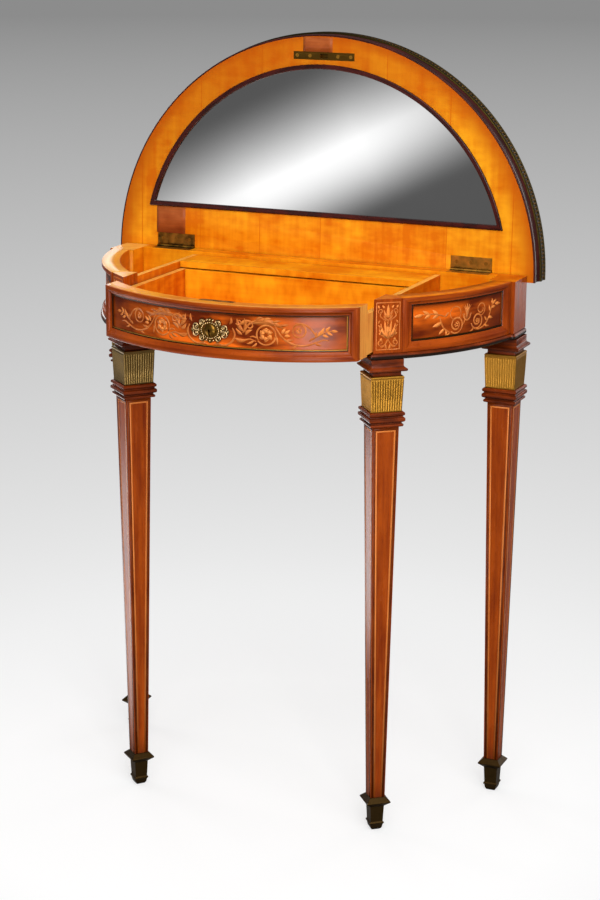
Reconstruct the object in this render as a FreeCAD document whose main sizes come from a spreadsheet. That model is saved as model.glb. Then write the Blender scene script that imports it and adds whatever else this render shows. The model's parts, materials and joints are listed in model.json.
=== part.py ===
import FreeCAD, Part
import math
import os
import Sketcher

# Half-round dressing table on four tapered square legs.
# The frame has +Z up and the floor at zero. The flat back faces +Y and the drawer pulls out to -Y.
# It stands as it is used: the lid leans open on its stop and the drawer is a little way out.
# Lengths are in millimetres and angles in degrees.

SIZES = {
    "back_offset": (155.7, "flat back of the case, behind the middle of the footprint"),
    "overrun": (4, "how far a cutting shape runs past the piece that it cuts"),
    "seat_gap": (0.05, "room between pieces that seat in one another"),
    "running_gap": (0.05, "radial room of a turning pin"),
    # Case
    "case_top": (760, "upper edge of the case above the floor"),
    "case_height": (81, "height of the case from its underside to its upper edge"),
    "base_height": (8.5, "thickness of the base board and of the base moulding"),
    "base_board_margin": (32, "edge of the base board inside the friezes' outer radius"),
    "base_lip": (2.5, "how far the base moulding stands out past the friezes"),
    "frieze_radius": (312, "outer radius of the frieze frames"),
    "frame_depth": (7, "how far the frieze frames stand out from the curved core"),
    "core_depth": (19, "thickness of the curved core"),
    "panel_thickness": (1.2, "thickness of the marquetry veneer"),
    "frame_top_width": (10, "width of a frieze frame along its top"),
    "frame_bottom_width": (13, "width of a frieze frame along its bottom"),
    "frame_end_width": (14, "width of a frieze frame at its ends"),
    "block_width": (40, "width of a front block's face"),
    "block_setback": (2, "face of a front block inside the friezes' outer radius"),
    "block_depth": (20, "depth of a front block behind its face"),
    "stile_width": (38, "width of a back stile across the case"),
    "stile_depth": (52, "depth of a back stile from the flat back"),
    "rail_thickness": (20, "thickness of the back rail"),
    "divider_thickness": (8, "thickness of the boards beside the drawer"),
    "inner_drop": (5, "how far the dividers and the deck lie below the upper edge"),
    "deck_thickness": (9, "thickness of the fixed deck at the back"),
    "deck_reach": (78, "front edge of the deck from the flat back"),
    "runner_height": (2, "height of a drawer runner"),
    "runner_width": (10, "width of a drawer runner"),
    # Legs
    "front_leg_angle": (40.2, "turn of the front legs about the arc centre, away from the front"),
    "front_leg_inset": (22.6, "axis of a front leg inside the friezes' outer radius"),
    "back_leg_side_inset": (18, "axis of a back leg inside the friezes' outer radius, across the case"),
    "back_leg_inset": (26, "axis of a back leg in front of the flat back"),
    "leg_core_side": (30, "side of the square core that carries the mouldings"),
    "dowel_radius": (6, "radius of the dowel on top of a leg"),
    "dowel_length": (25, "length of the dowel on top of a leg"),
    "dowel_offset": (10, "distance of the dowel outwards from the leg's axis"),
    "neck_height": (23, "height of the moulded neck under the case"),
    "neck_side": (54, "side of the neck at its lip"),
    "capital_height": (48.5, "height of the reeded capital"),
    "capital_side": (47, "side of the capital at its widest"),
    "collar_height": (21.5, "height of the moulded collar under the capital"),
    "collar_side": (50.5, "side of the collar at its widest"),
    "shaft_top_side": (37, "side of the shaft under the collar"),
    "shaft_foot_side": (21, "side of the shaft above the sabot"),
    "sabot_height": (50, "height of the sabot"),
    "sabot_side": (34.5, "side of the sabot at its flange"),
    "tenon_side": (12, "side of the tenon in the sabot"),
    "tenon_length": (34, "length of the tenon in the sabot"),
    # Lid
    "lid_overhang": (10, "how far the lid's underside reaches past the friezes"),
    "lid_thickness": (40, "thickness of the lid"),
    "lid_setback": (8, "arc centre of the closed lid behind the hinge axis"),
    "lid_back_margin": (2.3, "straight edge of the lid behind its arc centre"),
    "lid_gap": (1, "room between the closed lid and the case"),
    "lid_open_angle": (92, "turn of the open lid from closed"),
    "lid_edge_width": (3, "width of the moulding round the lid"),
    "lid_band_width": (2.5, "how far the metal band stands out from the moulding"),
    "lid_band_height": (21, "height of the metal band"),
    "mirror_margin": (39, "mirror's frame inside the edge of the lid's underside"),
    "mirror_base": (67, "straight side of the mirror's frame from the arc centre"),
    "mirror_frame_width": (6.8, "width of the mirror's frame"),
    "mirror_frame_proud": (2.5, "how far the mirror's frame stands out from the lid"),
    "mirror_frame_sunk": (2, "how deep the mirror's frame sits in the lid"),
    "mirror_thickness": (4, "thickness of the glass"),
    "mirror_rebate": (4, "how far the frame laps over the rim of the lid's recess"),
    # Hinges and screws
    "hinge_inset": (63.3, "middle of a hinge from a back leg's axis, across the case"),
    "hinge_behind": (0.1, "hinge axis behind the flat back"),
    "hinge_length": (60, "length of a hinge along its axis"),
    "leaf_depth": (19.5, "far edge of a leaf from the hinge axis"),
    "leaf_thickness": (1.6, "thickness of a leaf"),
    "knuckle_radius": (2.4, "radius of the knuckle"),
    "knuckle_room": (0.5, "room round the knuckle"),
    "barrel_room": (0.2, "room between the barrels of a knuckle"),
    "pin_radius": (1.2, "radius of the hinge pin"),
    "screw_head_radius": (2.6, "radius of a screw's head"),
    "screw_head_height": (1, "height of a screw's head"),
    "screw_shank_radius": (1.3, "radius of a screw's shank"),
    "screw_length": (10, "length of a screw"),
    # Lock
    "keep_length": (93, "length of the keep plate on the lid"),
    "keep_width": (11, "width of the keep plate"),
    "keep_thickness": (1.5, "thickness of the keep plate"),
    "bolt_inset": (0.4, "middle of the bolt in front of the inner face of the drawer's front"),
    "bolt_width": (10, "width of the lock's bolt"),
    "bolt_thickness": (4, "thickness of the lock's bolt"),
    "bolt_length": (24, "length of the lock's bolt"),
    "bolt_throw": (7, "travel of the lock's bolt"),
    "bolt_room": (0.1, "room on each side of the bolt in its channel"),
    "keep_room": (1, "room on each side of the bolt in the keep"),
    "lock_width": (50, "width of the lock case"),
    "lock_drop": (12, "lower edge of the lock case below the keyhole's round end"),
    "lock_depth": (9, "depth of the lock case"),
    "escutcheon_width": (55, "width of the escutcheon"),
    "escutcheon_height": (33, "height of the escutcheon"),
    "escutcheon_thickness": (1.2, "thickness of the escutcheon's plate"),
    "boss_width": (17, "width of the escutcheon's boss"),
    "boss_height": (18, "height of the escutcheon's boss"),
    "boss_rise": (4.5, "how far the boss stands out from the panel"),
    "keyhole_radius": (2.2, "radius of the keyhole's round end"),
    "keyhole_slot": (2.4, "width of the keyhole's slot"),
    "keyhole_drop": (7, "length of the keyhole's slot below the round end"),
    # Drawer
    "drawer_out": (51, "how far the drawer is pulled out"),
    "drawer_room": (0.8, "room on each side of the drawer"),
    "drawer_front_drop": (1.5, "top of the drawer's front below the upper edge"),
    "drawer_front_lift": (0.4, "bottom of the drawer's front above the base"),
    "drawer_side_thickness": (9, "thickness of the drawer's sides and back"),
    "drawer_back_room": (2, "room between the closed drawer and the back rail"),
    "drawer_bottom_thickness": (5, "thickness of the drawer's bottom"),
    "drawer_bottom_lift": (3, "bottom board above the lower edge of the sides"),
    "drawer_deck_room": (1.5, "room between the drawer's sides and the deck"),
    "slide_gap": (0.2, "room between the drawer's sides and the runners"),
}

# Sections of the square mouldings, from below: share of the height, then share of the side.
NECK_SHARES = (
    (0, 0.74), (0.26, 0.74), (0.3, 0.95), (0.35, 1), (0.44, 1), (0.53, 0.88), (0.6, 0.835), (1, 0.835),
)
CAPITAL_SHARES = ((0, 0.9), (0.03, 0.915), (0.9, 1), (0.96, 0.985), (1, 0.94))
COLLAR_SHARES = (
    (0, 0.76), (0.06, 0.9), (0.1, 0.925), (0.2, 0.925), (0.25, 0.845), (0.31, 0.845), (0.38, 0.97),
    (0.43, 1), (0.6, 1), (0.66, 0.9), (0.72, 0.9), (0.8, 0.985), (0.93, 0.985), (1, 0.905),
)
SABOT_SHARES = (
    (0, 0.36), (0.06, 0.465), (0.16, 0.52), (0.19, 0.595), (0.22, 0.595), (0.25, 0.52), (0.72, 0.58),
    (0.85, 1), (0.88, 1), (1, 0.64),
)

# Section of the lid's edge, from the underside: share of the edge's width, then share of the thickness.
LID_EDGE_SHARES = (
    (0, 0), (0.5, 0), (0.83, 0.03), (0.83, 0.12), (0.4, 0.16), (0.3, 0.27), (0.4, 0.38), (1, 0.46),
    (1, 1), (0, 1),
)
# Section of the metal band: share of its width, then share of its height.
LID_BAND_SHARES = ((0, 0), (0.6, 0.04), (1, 0.15), (1, 0.85), (0.6, 0.97), (0, 1))

# Inner and outer limits of a window on the friezes, as shares of their radius.
WINDOW_INNER_SHARE = 0.8
WINDOW_OUTER_SHARE = 1.15

# Screws: share of the hinge's length, share of the leaf's depth and share of the keep's length.
HINGE_SCREW_SHARES = (-0.36, 0, 0.36)
LEAF_SCREW_SHARE = 0.58
KEEP_SCREW_SHARES = (-0.44, -0.23, 0.23, 0.44)
# Part of the hinge's length that each barrel takes.
BARREL_SHARE = 1 / 3
# Lobes of the escutcheon: place across, place upwards and radius, as shares of its width and height.
LOBE_SHARES = (
    (0, 0, 0.36), (0.3, 0.02, 0.2), (-0.3, 0.02, 0.2), (0.44, -0.02, 0.1), (-0.44, -0.02, 0.1),
    (0.2, 0.3, 0.15), (-0.2, 0.3, 0.15), (0, 0.4, 0.1), (0.2, -0.3, 0.15), (-0.2, -0.3, 0.15),
    (0, -0.4, 0.1),
)

LEFT = -1
RIGHT = 1
SIDE_NAMES = {LEFT: "left", RIGHT: "right"}
FULL_TURN = 360
QUARTER_TURN = 90


class Size:
    """A length, angle or ratio with its number and the sheet formula that gives it."""

    def __init__(self, number, formula):
        self.number = number
        self.formula = formula

    def __add__(self, other):
        return Size(self.number + sized(other).number, f"({self.formula} + {sized(other).formula})")

    def __sub__(self, other):
        return Size(self.number - sized(other).number, f"({self.formula} - {sized(other).formula})")

    def __mul__(self, other):
        return Size(self.number * sized(other).number, f"({self.formula} * {sized(other).formula})")

    def __truediv__(self, other):
        return Size(self.number / sized(other).number, f"({self.formula} / {sized(other).formula})")

    def __neg__(self):
        return Size(-self.number, f"(0 - {self.formula})")


def sized(value):
    """The value as a Size."""
    if isinstance(value, Size):
        return value
    return Size(value, f"({value})")


def sine(angle):
    return Size(math.sin(math.radians(angle.number)), f"sin({angle.formula})")


def cosine(angle):
    return Size(math.cos(math.radians(angle.number)), f"cos({angle.formula})")


class Sizes:
    """The sizes of the sheet by name."""

    def __init__(self, document):
        sheet = document.addObject("Spreadsheet::Sheet", "Sizes")
        for row, (name, (number, words)) in enumerate(SIZES.items(), start=1):
            sheet.set(f"A{row}", words)
            sheet.set(f"B{row}", str(number))
            sheet.setAlias(f"B{row}", name)
        document.recompute()
        for name in SIZES:
            setattr(self, name, Size(float(sheet.get(name)), f"Sizes.{name}"))


doc = FreeCAD.newDocument("demilune_table")
S = Sizes(doc)
nodes = {}

# Levels, radii and places that several pieces share.
ZERO = sized(0)
LEG_SINE = sine(S.front_leg_angle)
LEG_COSINE = cosine(S.front_leg_angle)
BASE_BOTTOM = S.case_top - S.case_height
BASE_TOP = BASE_BOTTOM + S.base_height
INNER_TOP = S.case_top - S.inner_drop
BASE_BOARD_RADIUS = S.frieze_radius - S.base_board_margin
CORE_RADIUS = S.frieze_radius - S.frame_depth
CORE_INNER_RADIUS = CORE_RADIUS - S.core_depth
PANEL_RADIUS = CORE_RADIUS + S.panel_thickness
FRONT_LEG_RADIUS = S.frieze_radius - S.front_leg_inset
BACK_LEG_SPREAD = S.frieze_radius - S.back_leg_side_inset
CAPITAL_TOP = BASE_BOTTOM - S.neck_height
COLLAR_TOP = CAPITAL_TOP - S.capital_height
SHAFT_TOP = COLLAR_TOP - S.collar_height
BLOCK_FACE_RADIUS = S.frieze_radius - S.block_setback
BLOCK_BACK_RADIUS = BLOCK_FACE_RADIUS - S.block_depth
BLOCK_BACK = S.back_offset - BLOCK_BACK_RADIUS * LEG_COSINE + S.block_width / 2 * LEG_SINE
OPENING_HALF = BLOCK_FACE_RADIUS * LEG_SINE - S.block_width / 2 * LEG_COSINE
RAIL_FACE = S.back_offset - S.rail_thickness
STILE_FACE = S.back_offset - S.stile_depth
DRAWER_HALF = OPENING_HALF - S.drawer_room
FRONT_TOP = S.case_top - S.drawer_front_drop
FRONT_BOTTOM = BASE_TOP + S.drawer_front_lift
KEYHOLE_LEVEL = (FRONT_TOP + FRONT_BOTTOM) / 2
LOCK_BOTTOM = KEYHOLE_LEVEL - S.lock_drop
LID_RADIUS = S.frieze_radius + S.lid_overhang
MIRROR_RADIUS = LID_RADIUS - S.mirror_margin
HINGE_SPREAD = BACK_LEG_SPREAD - S.hinge_inset
AXIS_DEPTH = S.back_offset + S.hinge_behind
AXIS_LEVEL = S.case_top + S.lid_gap / 2
BOLT_RADIUS = CORE_INNER_RADIUS + S.bolt_inset
BOLT_DEPTH = S.back_offset - BOLT_RADIUS
KEEP_DISTANCE = BOLT_RADIUS + S.hinge_behind + S.lid_setback


def bind(thing, **formulas):
    """Bind properties of an object to sheet formulas."""
    for name, value in formulas.items():
        thing.setExpression(name, sized(value).formula)


def place(thing, across, depth, level):
    """Bind the place of an object's own origin."""
    for axis, value in zip("xyz", (across, depth, level)):
        thing.setExpression(f"Placement.Base.{axis}", sized(value).formula)


def turn(thing, axis, angle):
    """Bind an object's turn about an axis through its own origin."""
    thing.Placement = FreeCAD.Placement(FreeCAD.Vector(), FreeCAD.Rotation(FreeCAD.Vector(*axis), 1))
    thing.setExpression("Placement.Rotation.Angle", sized(angle).formula)


def finish(node, thing):
    """Keep an object as a sub-part under its own label."""
    thing.Label = node
    nodes[node] = thing
    return thing


# Part primitives and booleans
def block(name, low, high):
    """A box between two corners."""
    box = doc.addObject("Part::Box", name)
    spans = [sized(top) - bottom for bottom, top in zip(low, high)]
    bind(box, Length=spans[0], Width=spans[1], Height=spans[2])
    place(box, *low)
    return box


def upright(name, radius, bottom, top, across=ZERO, depth=S.back_offset):
    """A standing cylinder, by default about the arc centre."""
    rod = doc.addObject("Part::Cylinder", name)
    bind(rod, Radius=radius, Height=top - bottom)
    place(rod, across, depth, bottom)
    return rod


def lying(name, radius, length, start, axis):
    """A cylinder that starts at a point and lies along X, or forwards along -Y."""
    rod = doc.addObject("Part::Cylinder", name)
    bind(rod, Radius=radius, Height=length)
    turn(rod, {"x": (0, 1, 0), "front": (1, 0, 0)}[axis], QUARTER_TURN)
    place(rod, *start)
    return rod


def joined(name, pieces):
    """Several shapes fused to one."""
    if len(pieces) == 1:
        return pieces[0]
    whole = doc.addObject("Part::MultiFuse", name)
    whole.Shapes = pieces
    return whole


def cut(name, base, tools):
    """A shape less the tools."""
    rest = doc.addObject("Part::Cut", name)
    rest.Base = base
    rest.Tool = joined(f"{name}_tools", tools)
    return rest


def shared(name, base, tool):
    """What two shapes have in common."""
    both = doc.addObject("Part::Common", name)
    both.Base = base
    both.Tool = tool
    return both


def group(name, pieces):
    """Separate solids kept together as one sub-part."""
    bundle = doc.addObject("Part::Compound", name)
    bundle.Links = pieces
    return bundle


# PartDesign bodies and their sketches
def origin_plane(body, role):
    return next(feature for feature in body.Origin.OriginFeatures if feature.Role == role)


def new_sketch(body, name, role, level):
    sketch = body.newObject("Sketcher::SketchObject", name)
    sketch.AttachmentSupport = (origin_plane(body, role), [""])
    sketch.MapMode = "FlatFace"
    sketch.setExpression("AttachmentOffset.Base.z", sized(level).formula)
    return sketch


def fix_point(sketch, edge, point, name, spot):
    """Tie a point of the sketch to its two sizes."""
    for axis, other_axis, value in (("X", -2, spot[0]), ("Y", -1, spot[1])):
        value = sized(value)
        if value.number == 0:
            sketch.addConstraint(Sketcher.Constraint("PointOnObject", edge, point, other_axis))
            continue
        row = sketch.addConstraint(Sketcher.Constraint(f"Distance{axis}", -1, 1, edge, point, value.number))
        sketch.renameConstraint(row, f"{name}_{axis.lower()}")
        sketch.setExpression(f"Constraints.{name}_{axis.lower()}", value.formula)


def polygon(body, name, corners, level=ZERO, role="XY_Plane"):
    """A closed outline of straight lines through corners given in sizes."""
    sketch = new_sketch(body, name, role, level)
    spots = [FreeCAD.Vector(sized(x).number, sized(y).number, 0) for x, y in corners]
    count = len(spots)
    for index in range(count):
        sketch.addGeometry(Part.LineSegment(spots[index], spots[(index + 1) % count]))
    for index in range(count):
        sketch.addConstraint(Sketcher.Constraint("Coincident", index, 2, (index + 1) % count, 1))
    for index, corner in enumerate(corners):
        fix_point(sketch, index, 1, f"corner{index}", corner)
    return sketch


def square(body, name, side, level):
    half = sized(side) / 2
    return polygon(body, name, ((-half, -half), (half, -half), (half, half), (-half, half)), level)


def circle(body, name, radius, centre, level):
    sketch = new_sketch(body, name, "XY_Plane", level)
    spot = FreeCAD.Vector(sized(centre[0]).number, sized(centre[1]).number, 0)
    sketch.addGeometry(Part.Circle(spot, FreeCAD.Vector(0, 0, 1), radius.number))
    row = sketch.addConstraint(Sketcher.Constraint("Radius", 0, radius.number))
    sketch.renameConstraint(row, "radius")
    sketch.setExpression("Constraints.radius", radius.formula)
    fix_point(sketch, 0, 3, "centre", centre)
    return sketch


def new_body(name):
    return doc.addObject("PartDesign::Body", name)


def pad(body, name, sketch, length, downwards=False):
    feature = body.newObject("PartDesign::Pad", name)
    feature.Profile = sketch
    feature.Reversed = downwards
    bind(feature, Length=length)
    return feature


def pocket(body, name, sketch, depth, upwards=False):
    feature = body.newObject("PartDesign::Pocket", name)
    feature.Profile = sketch
    feature.Reversed = upwards
    bind(feature, Length=depth)
    return feature


def square_moulding(body, name, bottom, height, side, shares):
    """A square moulding: a ruled loft through sections given as shares of its height and side."""
    sections = []
    for index, (height_share, side_share) in enumerate(shares):
        level = bottom + height * height_share
        sections.append(square(body, f"{name}_section{index}", side * side_share, level))
    loft = body.newObject("PartDesign::AdditiveLoft", f"{name}_loft")
    loft.Profile = sections[0]
    loft.Sections = sections[1:]
    loft.Ruled = True
    return loft


def prism(name, corners, bottom, top):
    """A standing prism over an outline in plan."""
    body = new_body(name)
    pad(body, f"{name}_pad", polygon(body, f"{name}_outline", corners, bottom), sized(top) - bottom)
    return body


# Legs
def leg_spot(row, side):
    """Place and turn of a leg's axis."""
    if row == "front":
        across = FRONT_LEG_RADIUS * LEG_SINE * side
        return across, S.back_offset - FRONT_LEG_RADIUS * LEG_COSINE, S.front_leg_angle * side
    return BACK_LEG_SPREAD * side, S.back_offset - S.back_leg_inset, ZERO


def dowel_spot(row, side):
    """Place of the dowel, outwards from the leg's axis."""
    across, depth, angle = leg_spot(row, side)
    return across + S.dowel_offset * sine(angle), depth - S.dowel_offset * cosine(angle)


def stand(body, row, side):
    """Put a leg piece on its leg's axis, turned to face outwards."""
    across, depth, angle = leg_spot(row, side)
    turn(body, (0, 0, 1), angle)
    place(body, across, depth, ZERO)


def make_leg(node):
    """Tapered shaft with its foot tenon, the core for the mouldings and the dowel on top."""
    body = new_body(node)
    shaft_shares = ((0, S.shaft_foot_side / S.shaft_top_side), (1, 1))
    length = SHAFT_TOP - S.sabot_height
    square_moulding(body, "shaft", S.sabot_height, length, S.shaft_top_side, shaft_shares)
    core = square(body, "core_outline", S.leg_core_side, SHAFT_TOP)
    pad(body, "core", core, BASE_BOTTOM - SHAFT_TOP)
    tenon = square(body, "tenon_outline", S.tenon_side, S.sabot_height)
    pad(body, "tenon", tenon, S.tenon_length, downwards=True)
    dowel = circle(body, "dowel_outline", S.dowel_radius, (ZERO, -S.dowel_offset), BASE_BOTTOM)
    pad(body, "dowel", dowel, S.dowel_length)
    return body


def make_sleeve(node, bottom, height, side, shares):
    """A moulding with a square hole for the leg's core."""
    body = new_body(node)
    square_moulding(body, "moulding", bottom, height, side, shares)
    hole = square(body, "hole_outline", S.leg_core_side + S.seat_gap * 2, bottom)
    pocket(body, "hole", hole, height + S.overrun, upwards=True)
    return body


def make_sabot(node):
    """Foot with a flange, hollow for the leg's tenon."""
    body = new_body(node)
    square_moulding(body, "moulding", ZERO, S.sabot_height, S.sabot_side, SABOT_SHARES)
    socket = square(body, "socket_outline", S.tenon_side + S.seat_gap * 2, S.sabot_height)
    pocket(body, "socket", socket, S.tenon_length + S.seat_gap)
    return body


def make_legs():
    sleeves = (
        ("neck_moulding", CAPITAL_TOP, S.neck_height, S.neck_side, NECK_SHARES),
        ("capital", COLLAR_TOP, S.capital_height, S.capital_side, CAPITAL_SHARES),
        ("collar", SHAFT_TOP, S.collar_height, S.collar_side, COLLAR_SHARES),
    )
    for row in ("front", "back"):
        for side, word in SIDE_NAMES.items():
            corner = f"{row}_{word}"
            pieces = {f"leg_{corner}": make_leg(f"leg_{corner}")}
            for kind, bottom, height, width, shares in sleeves:
                node = f"{kind}_{corner}"
                pieces[node] = make_sleeve(node, bottom, height, width, shares)
            pieces[f"sabot_{corner}"] = make_sabot(f"sabot_{corner}")
            for node, piece in pieces.items():
                stand(finish(node, piece), row, side)


# Case
def on_block(side, outwards, along):
    """Point in plan from the arc centre: outwards along a front leg's radius, then along its face."""
    across = outwards * LEG_SINE + along * LEG_COSINE
    depth = S.back_offset - outwards * LEG_COSINE + along * LEG_SINE
    return across * side, depth


def make_post(node, corners, row, side):
    """A standing block of the case with a hole for its leg's dowel."""
    body = prism(node, corners, BASE_TOP, S.case_top)
    hole = circle(body, "dowel_hole", S.dowel_radius + S.seat_gap, dowel_spot(row, side), BASE_TOP)
    pocket(body, "dowel_bore", hole, S.dowel_length - S.base_height + S.seat_gap, upwards=True)
    return finish(node, body)


def make_posts():
    half = S.block_width / 2
    for side, word in SIDE_NAMES.items():
        corners = (
            on_block(side, BLOCK_FACE_RADIUS, -half),
            on_block(side, BLOCK_FACE_RADIUS, half),
            on_block(side, BLOCK_BACK_RADIUS, half),
            (OPENING_HALF * side, BLOCK_BACK),
        )
        make_post(f"front_block_{word}", corners, "front", side)
        near = (BACK_LEG_SPREAD - S.stile_width / 2) * side
        far = (BACK_LEG_SPREAD + S.stile_width / 2) * side
        corners = ((near, STILE_FACE), (far, STILE_FACE), (far, S.back_offset), (near, S.back_offset))
        make_post(f"back_stile_{word}", corners, "back", side)


def ring(name, inner, outer, bottom, top):
    """A ring about the arc centre."""
    hollow = upright(f"{name}_hollow", inner, bottom - S.overrun, top + S.overrun)
    return cut(f"{name}_ring", upright(f"{name}_round", outer, bottom, top), [hollow])


def side_window(name, side, margin, bottom, top):
    """Prism over a frieze between its front block and back stile, drawn in by a margin at both ends."""
    along = S.block_width / 2 + margin
    limit = STILE_FACE - margin
    reach = S.frieze_radius * WINDOW_OUTER_SHARE
    inner = on_block(side, S.frieze_radius * WINDOW_INNER_SHARE, along)
    outer = on_block(side, reach, along)
    corners = (inner, outer, (reach * side, outer[1]), (reach * side, limit), (inner[0], limit))
    return prism(name, corners, bottom, top)


def make_friezes():
    """Curved cores with their raised frames and recessed marquetry panels."""
    sight_bottom = BASE_TOP + S.frame_bottom_width
    sight_top = S.case_top - S.frame_top_width
    for side, word in SIDE_NAMES.items():
        window = side_window(f"window_{word}", side, ZERO, BASE_TOP, S.case_top)
        sight = side_window(f"sight_{word}", side, S.frame_end_width, sight_bottom, sight_top)
        core = ring(f"frieze_core_{word}", CORE_INNER_RADIUS, CORE_RADIUS, BASE_TOP, S.case_top)
        finish(f"frieze_{word}", shared(f"frieze_{word}", core, window))
        face = ring(f"frieze_face_{word}", CORE_RADIUS + S.seat_gap, S.frieze_radius, BASE_TOP, S.case_top)
        surround = shared(f"frieze_surround_{word}", face, window)
        finish(f"frieze_frame_{word}", cut(f"frieze_frame_{word}", surround, [sight]))
        veneer = ring(f"frieze_veneer_{word}", CORE_RADIUS + S.seat_gap, PANEL_RADIUS, BASE_TOP, S.case_top)
        finish(f"frieze_panel_{word}", shared(f"frieze_panel_{word}", veneer, sight))


def make_base():
    """Base board between two stretches of base moulding, which the legs' dowels pass through."""
    round_board = upright("base_round", BASE_BOARD_RADIUS - S.seat_gap, BASE_BOTTOM, BASE_TOP)
    far = S.frieze_radius * WINDOW_OUTER_SHARE
    front_half = block("base_front_half", (-far, S.back_offset - far, ZERO),
                       (far, S.back_offset, S.case_top))
    finish("base_board", shared("base_board", round_board, front_half))
    for side, word in SIDE_NAMES.items():
        lip_radius = S.frieze_radius + S.base_lip
        hoop = ring(f"base_hoop_{word}", BASE_BOARD_RADIUS, lip_radius, BASE_BOTTOM, BASE_TOP)
        near = (OPENING_HALF - S.base_lip) * side
        stretch = prism(
            f"base_stretch_{word}",
            ((near, S.back_offset - far), (far * side, S.back_offset - far), (far * side, S.back_offset),
             (near, S.back_offset)),
            BASE_BOTTOM, BASE_TOP,
        )
        stile_near = BACK_LEG_SPREAD * side
        stile_far = (BACK_LEG_SPREAD + S.stile_width / 2 + S.base_lip) * side
        stile_front = STILE_FACE - S.base_lip
        stile_foot = prism(
            f"base_stile_foot_{word}",
            ((stile_near, stile_front), (stile_far, stile_front), (stile_far, S.back_offset),
             (stile_near, S.back_offset)),
            BASE_BOTTOM, BASE_TOP,
        )
        plan = joined(f"base_plan_{word}", [shared(f"base_curve_{word}", hoop, stretch), stile_foot])
        holes = []
        for row in ("front", "back"):
            spot = dowel_spot(row, side)
            holes.append(
                upright(f"base_hole_{row}_{word}", S.dowel_radius + S.seat_gap, BASE_BOTTOM - S.overrun,
                        BASE_TOP + S.overrun, *spot)
            )
        finish(f"base_moulding_{word}", cut(f"base_moulding_{word}", plan, holes))


def make_inside():
    """Back rail, dividers, deck and drawer runners."""
    rail_half = BACK_LEG_SPREAD - S.stile_width / 2
    rail = block("rail_block", (-rail_half, RAIL_FACE, BASE_TOP), (rail_half, S.back_offset, S.case_top))
    recesses = []
    for side, word in SIDE_NAMES.items():
        near = HINGE_SPREAD * side - S.hinge_length / 2 - S.knuckle_room
        far = HINGE_SPREAD * side + S.hinge_length / 2 + S.knuckle_room
        knuckle_reach = S.knuckle_radius + S.knuckle_room
        recesses.append(
            block(f"rail_knuckle_{word}", (near, AXIS_DEPTH - knuckle_reach, AXIS_LEVEL - knuckle_reach),
                  (far, AXIS_DEPTH + S.overrun, S.case_top + S.overrun))
        )
        recesses.append(
            block(f"rail_leaf_{word}", (near, AXIS_DEPTH - S.leaf_depth - S.seat_gap,
                                        S.case_top - S.leaf_thickness - S.seat_gap),
                  (far, AXIS_DEPTH + S.overrun, S.case_top + S.overrun))
        )
        for index, spot in enumerate(hinge_screw_spots(side)):
            recesses.append(case_screw(f"rail_screw_hole_{word}{index}", spot, S.seat_gap))
    finish("back_rail", cut("back_rail", rail, recesses))
    for side, word in SIDE_NAMES.items():
        near = OPENING_HALF * side
        far = (OPENING_HALF + S.divider_thickness) * side
        low, high = (near, far) if side == RIGHT else (far, near)
        finish(
            f"divider_{word}",
            block(f"divider_{word}", (low, BLOCK_BACK, BASE_TOP), (high, RAIL_FACE, INNER_TOP)),
        )
    finish(
        "deck",
        block("deck", (-OPENING_HALF, S.back_offset - S.deck_reach, INNER_TOP - S.deck_thickness),
              (OPENING_HALF, RAIL_FACE, INNER_TOP)),
    )
    runners = []
    for side, word in SIDE_NAMES.items():
        near = (OPENING_HALF - S.runner_width) * side
        far = OPENING_HALF * side
        low, high = (near, far) if side == RIGHT else (far, near)
        runners.append(
            block(f"runner_{word}", (low, BLOCK_BACK, BASE_TOP),
                  (high, RAIL_FACE, BASE_TOP + S.runner_height))
        )
    finish("drawer_runners", group("drawer_runners", runners))


# Hinges and screws
def hinge_screw_spots(side):
    """Places of a hinge's screws: across the case, and forwards from the hinge axis."""
    forwards = S.leaf_depth * LEAF_SCREW_SHARE
    return [(HINGE_SPREAD * side + S.hinge_length * share, forwards) for share in HINGE_SCREW_SHARES]


def case_screw(name, spot, room):
    """A screw down into the back rail, or with some room the hole for one."""
    across, forwards = spot
    depth = AXIS_DEPTH - forwards
    head_bottom = S.case_top - S.screw_head_height - room
    head = upright(f"{name}_head", S.screw_head_radius + room, head_bottom, S.case_top, across, depth)
    tip = S.case_top - S.screw_length - room
    shank = upright(f"{name}_shank", S.screw_shank_radius + room, tip, head_bottom, across, depth)
    return joined(name, [head, shank])


def lid_screw(name, across, depth, room):
    """A screw up into the lid, or with some room the hole for one, in the lid's own frame."""
    head_top = S.screw_head_height + room
    head = upright(f"{name}_head", S.screw_head_radius + room, ZERO, head_top, across, depth)
    tip = S.screw_length + room
    shank = upright(f"{name}_shank", S.screw_shank_radius + room, head_top, tip, across, depth)
    return joined(name, [head, shank])


def hinge_leaf(name, side, depth, level, leaf_low, leaf_high, barrels):
    """One leaf with its barrels about an axis along X, bored for the pin."""
    middle = HINGE_SPREAD * side
    half = S.hinge_length / 2
    clear = S.knuckle_radius + S.knuckle_room
    plate = block(f"{name}_plate", (middle - half, depth - S.leaf_depth, leaf_low),
                  (middle + half, depth - clear, leaf_high))
    pieces = [plate]
    for index, (start, end) in enumerate(barrels):
        first = middle + start
        spot = (first, depth, level)
        pieces.append(lying(f"{name}_barrel{index}", S.knuckle_radius, end - start, spot, "x"))
        pieces.append(
            block(f"{name}_tab{index}", (first, depth - clear, leaf_low), (middle + end, depth, leaf_high))
        )
    bore = lying(f"{name}_bore", S.pin_radius + S.running_gap, S.hinge_length + S.overrun * 2,
                 (middle - half - S.overrun, depth, level), "x")
    return joined(f"{name}_solid", pieces), bore


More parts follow.
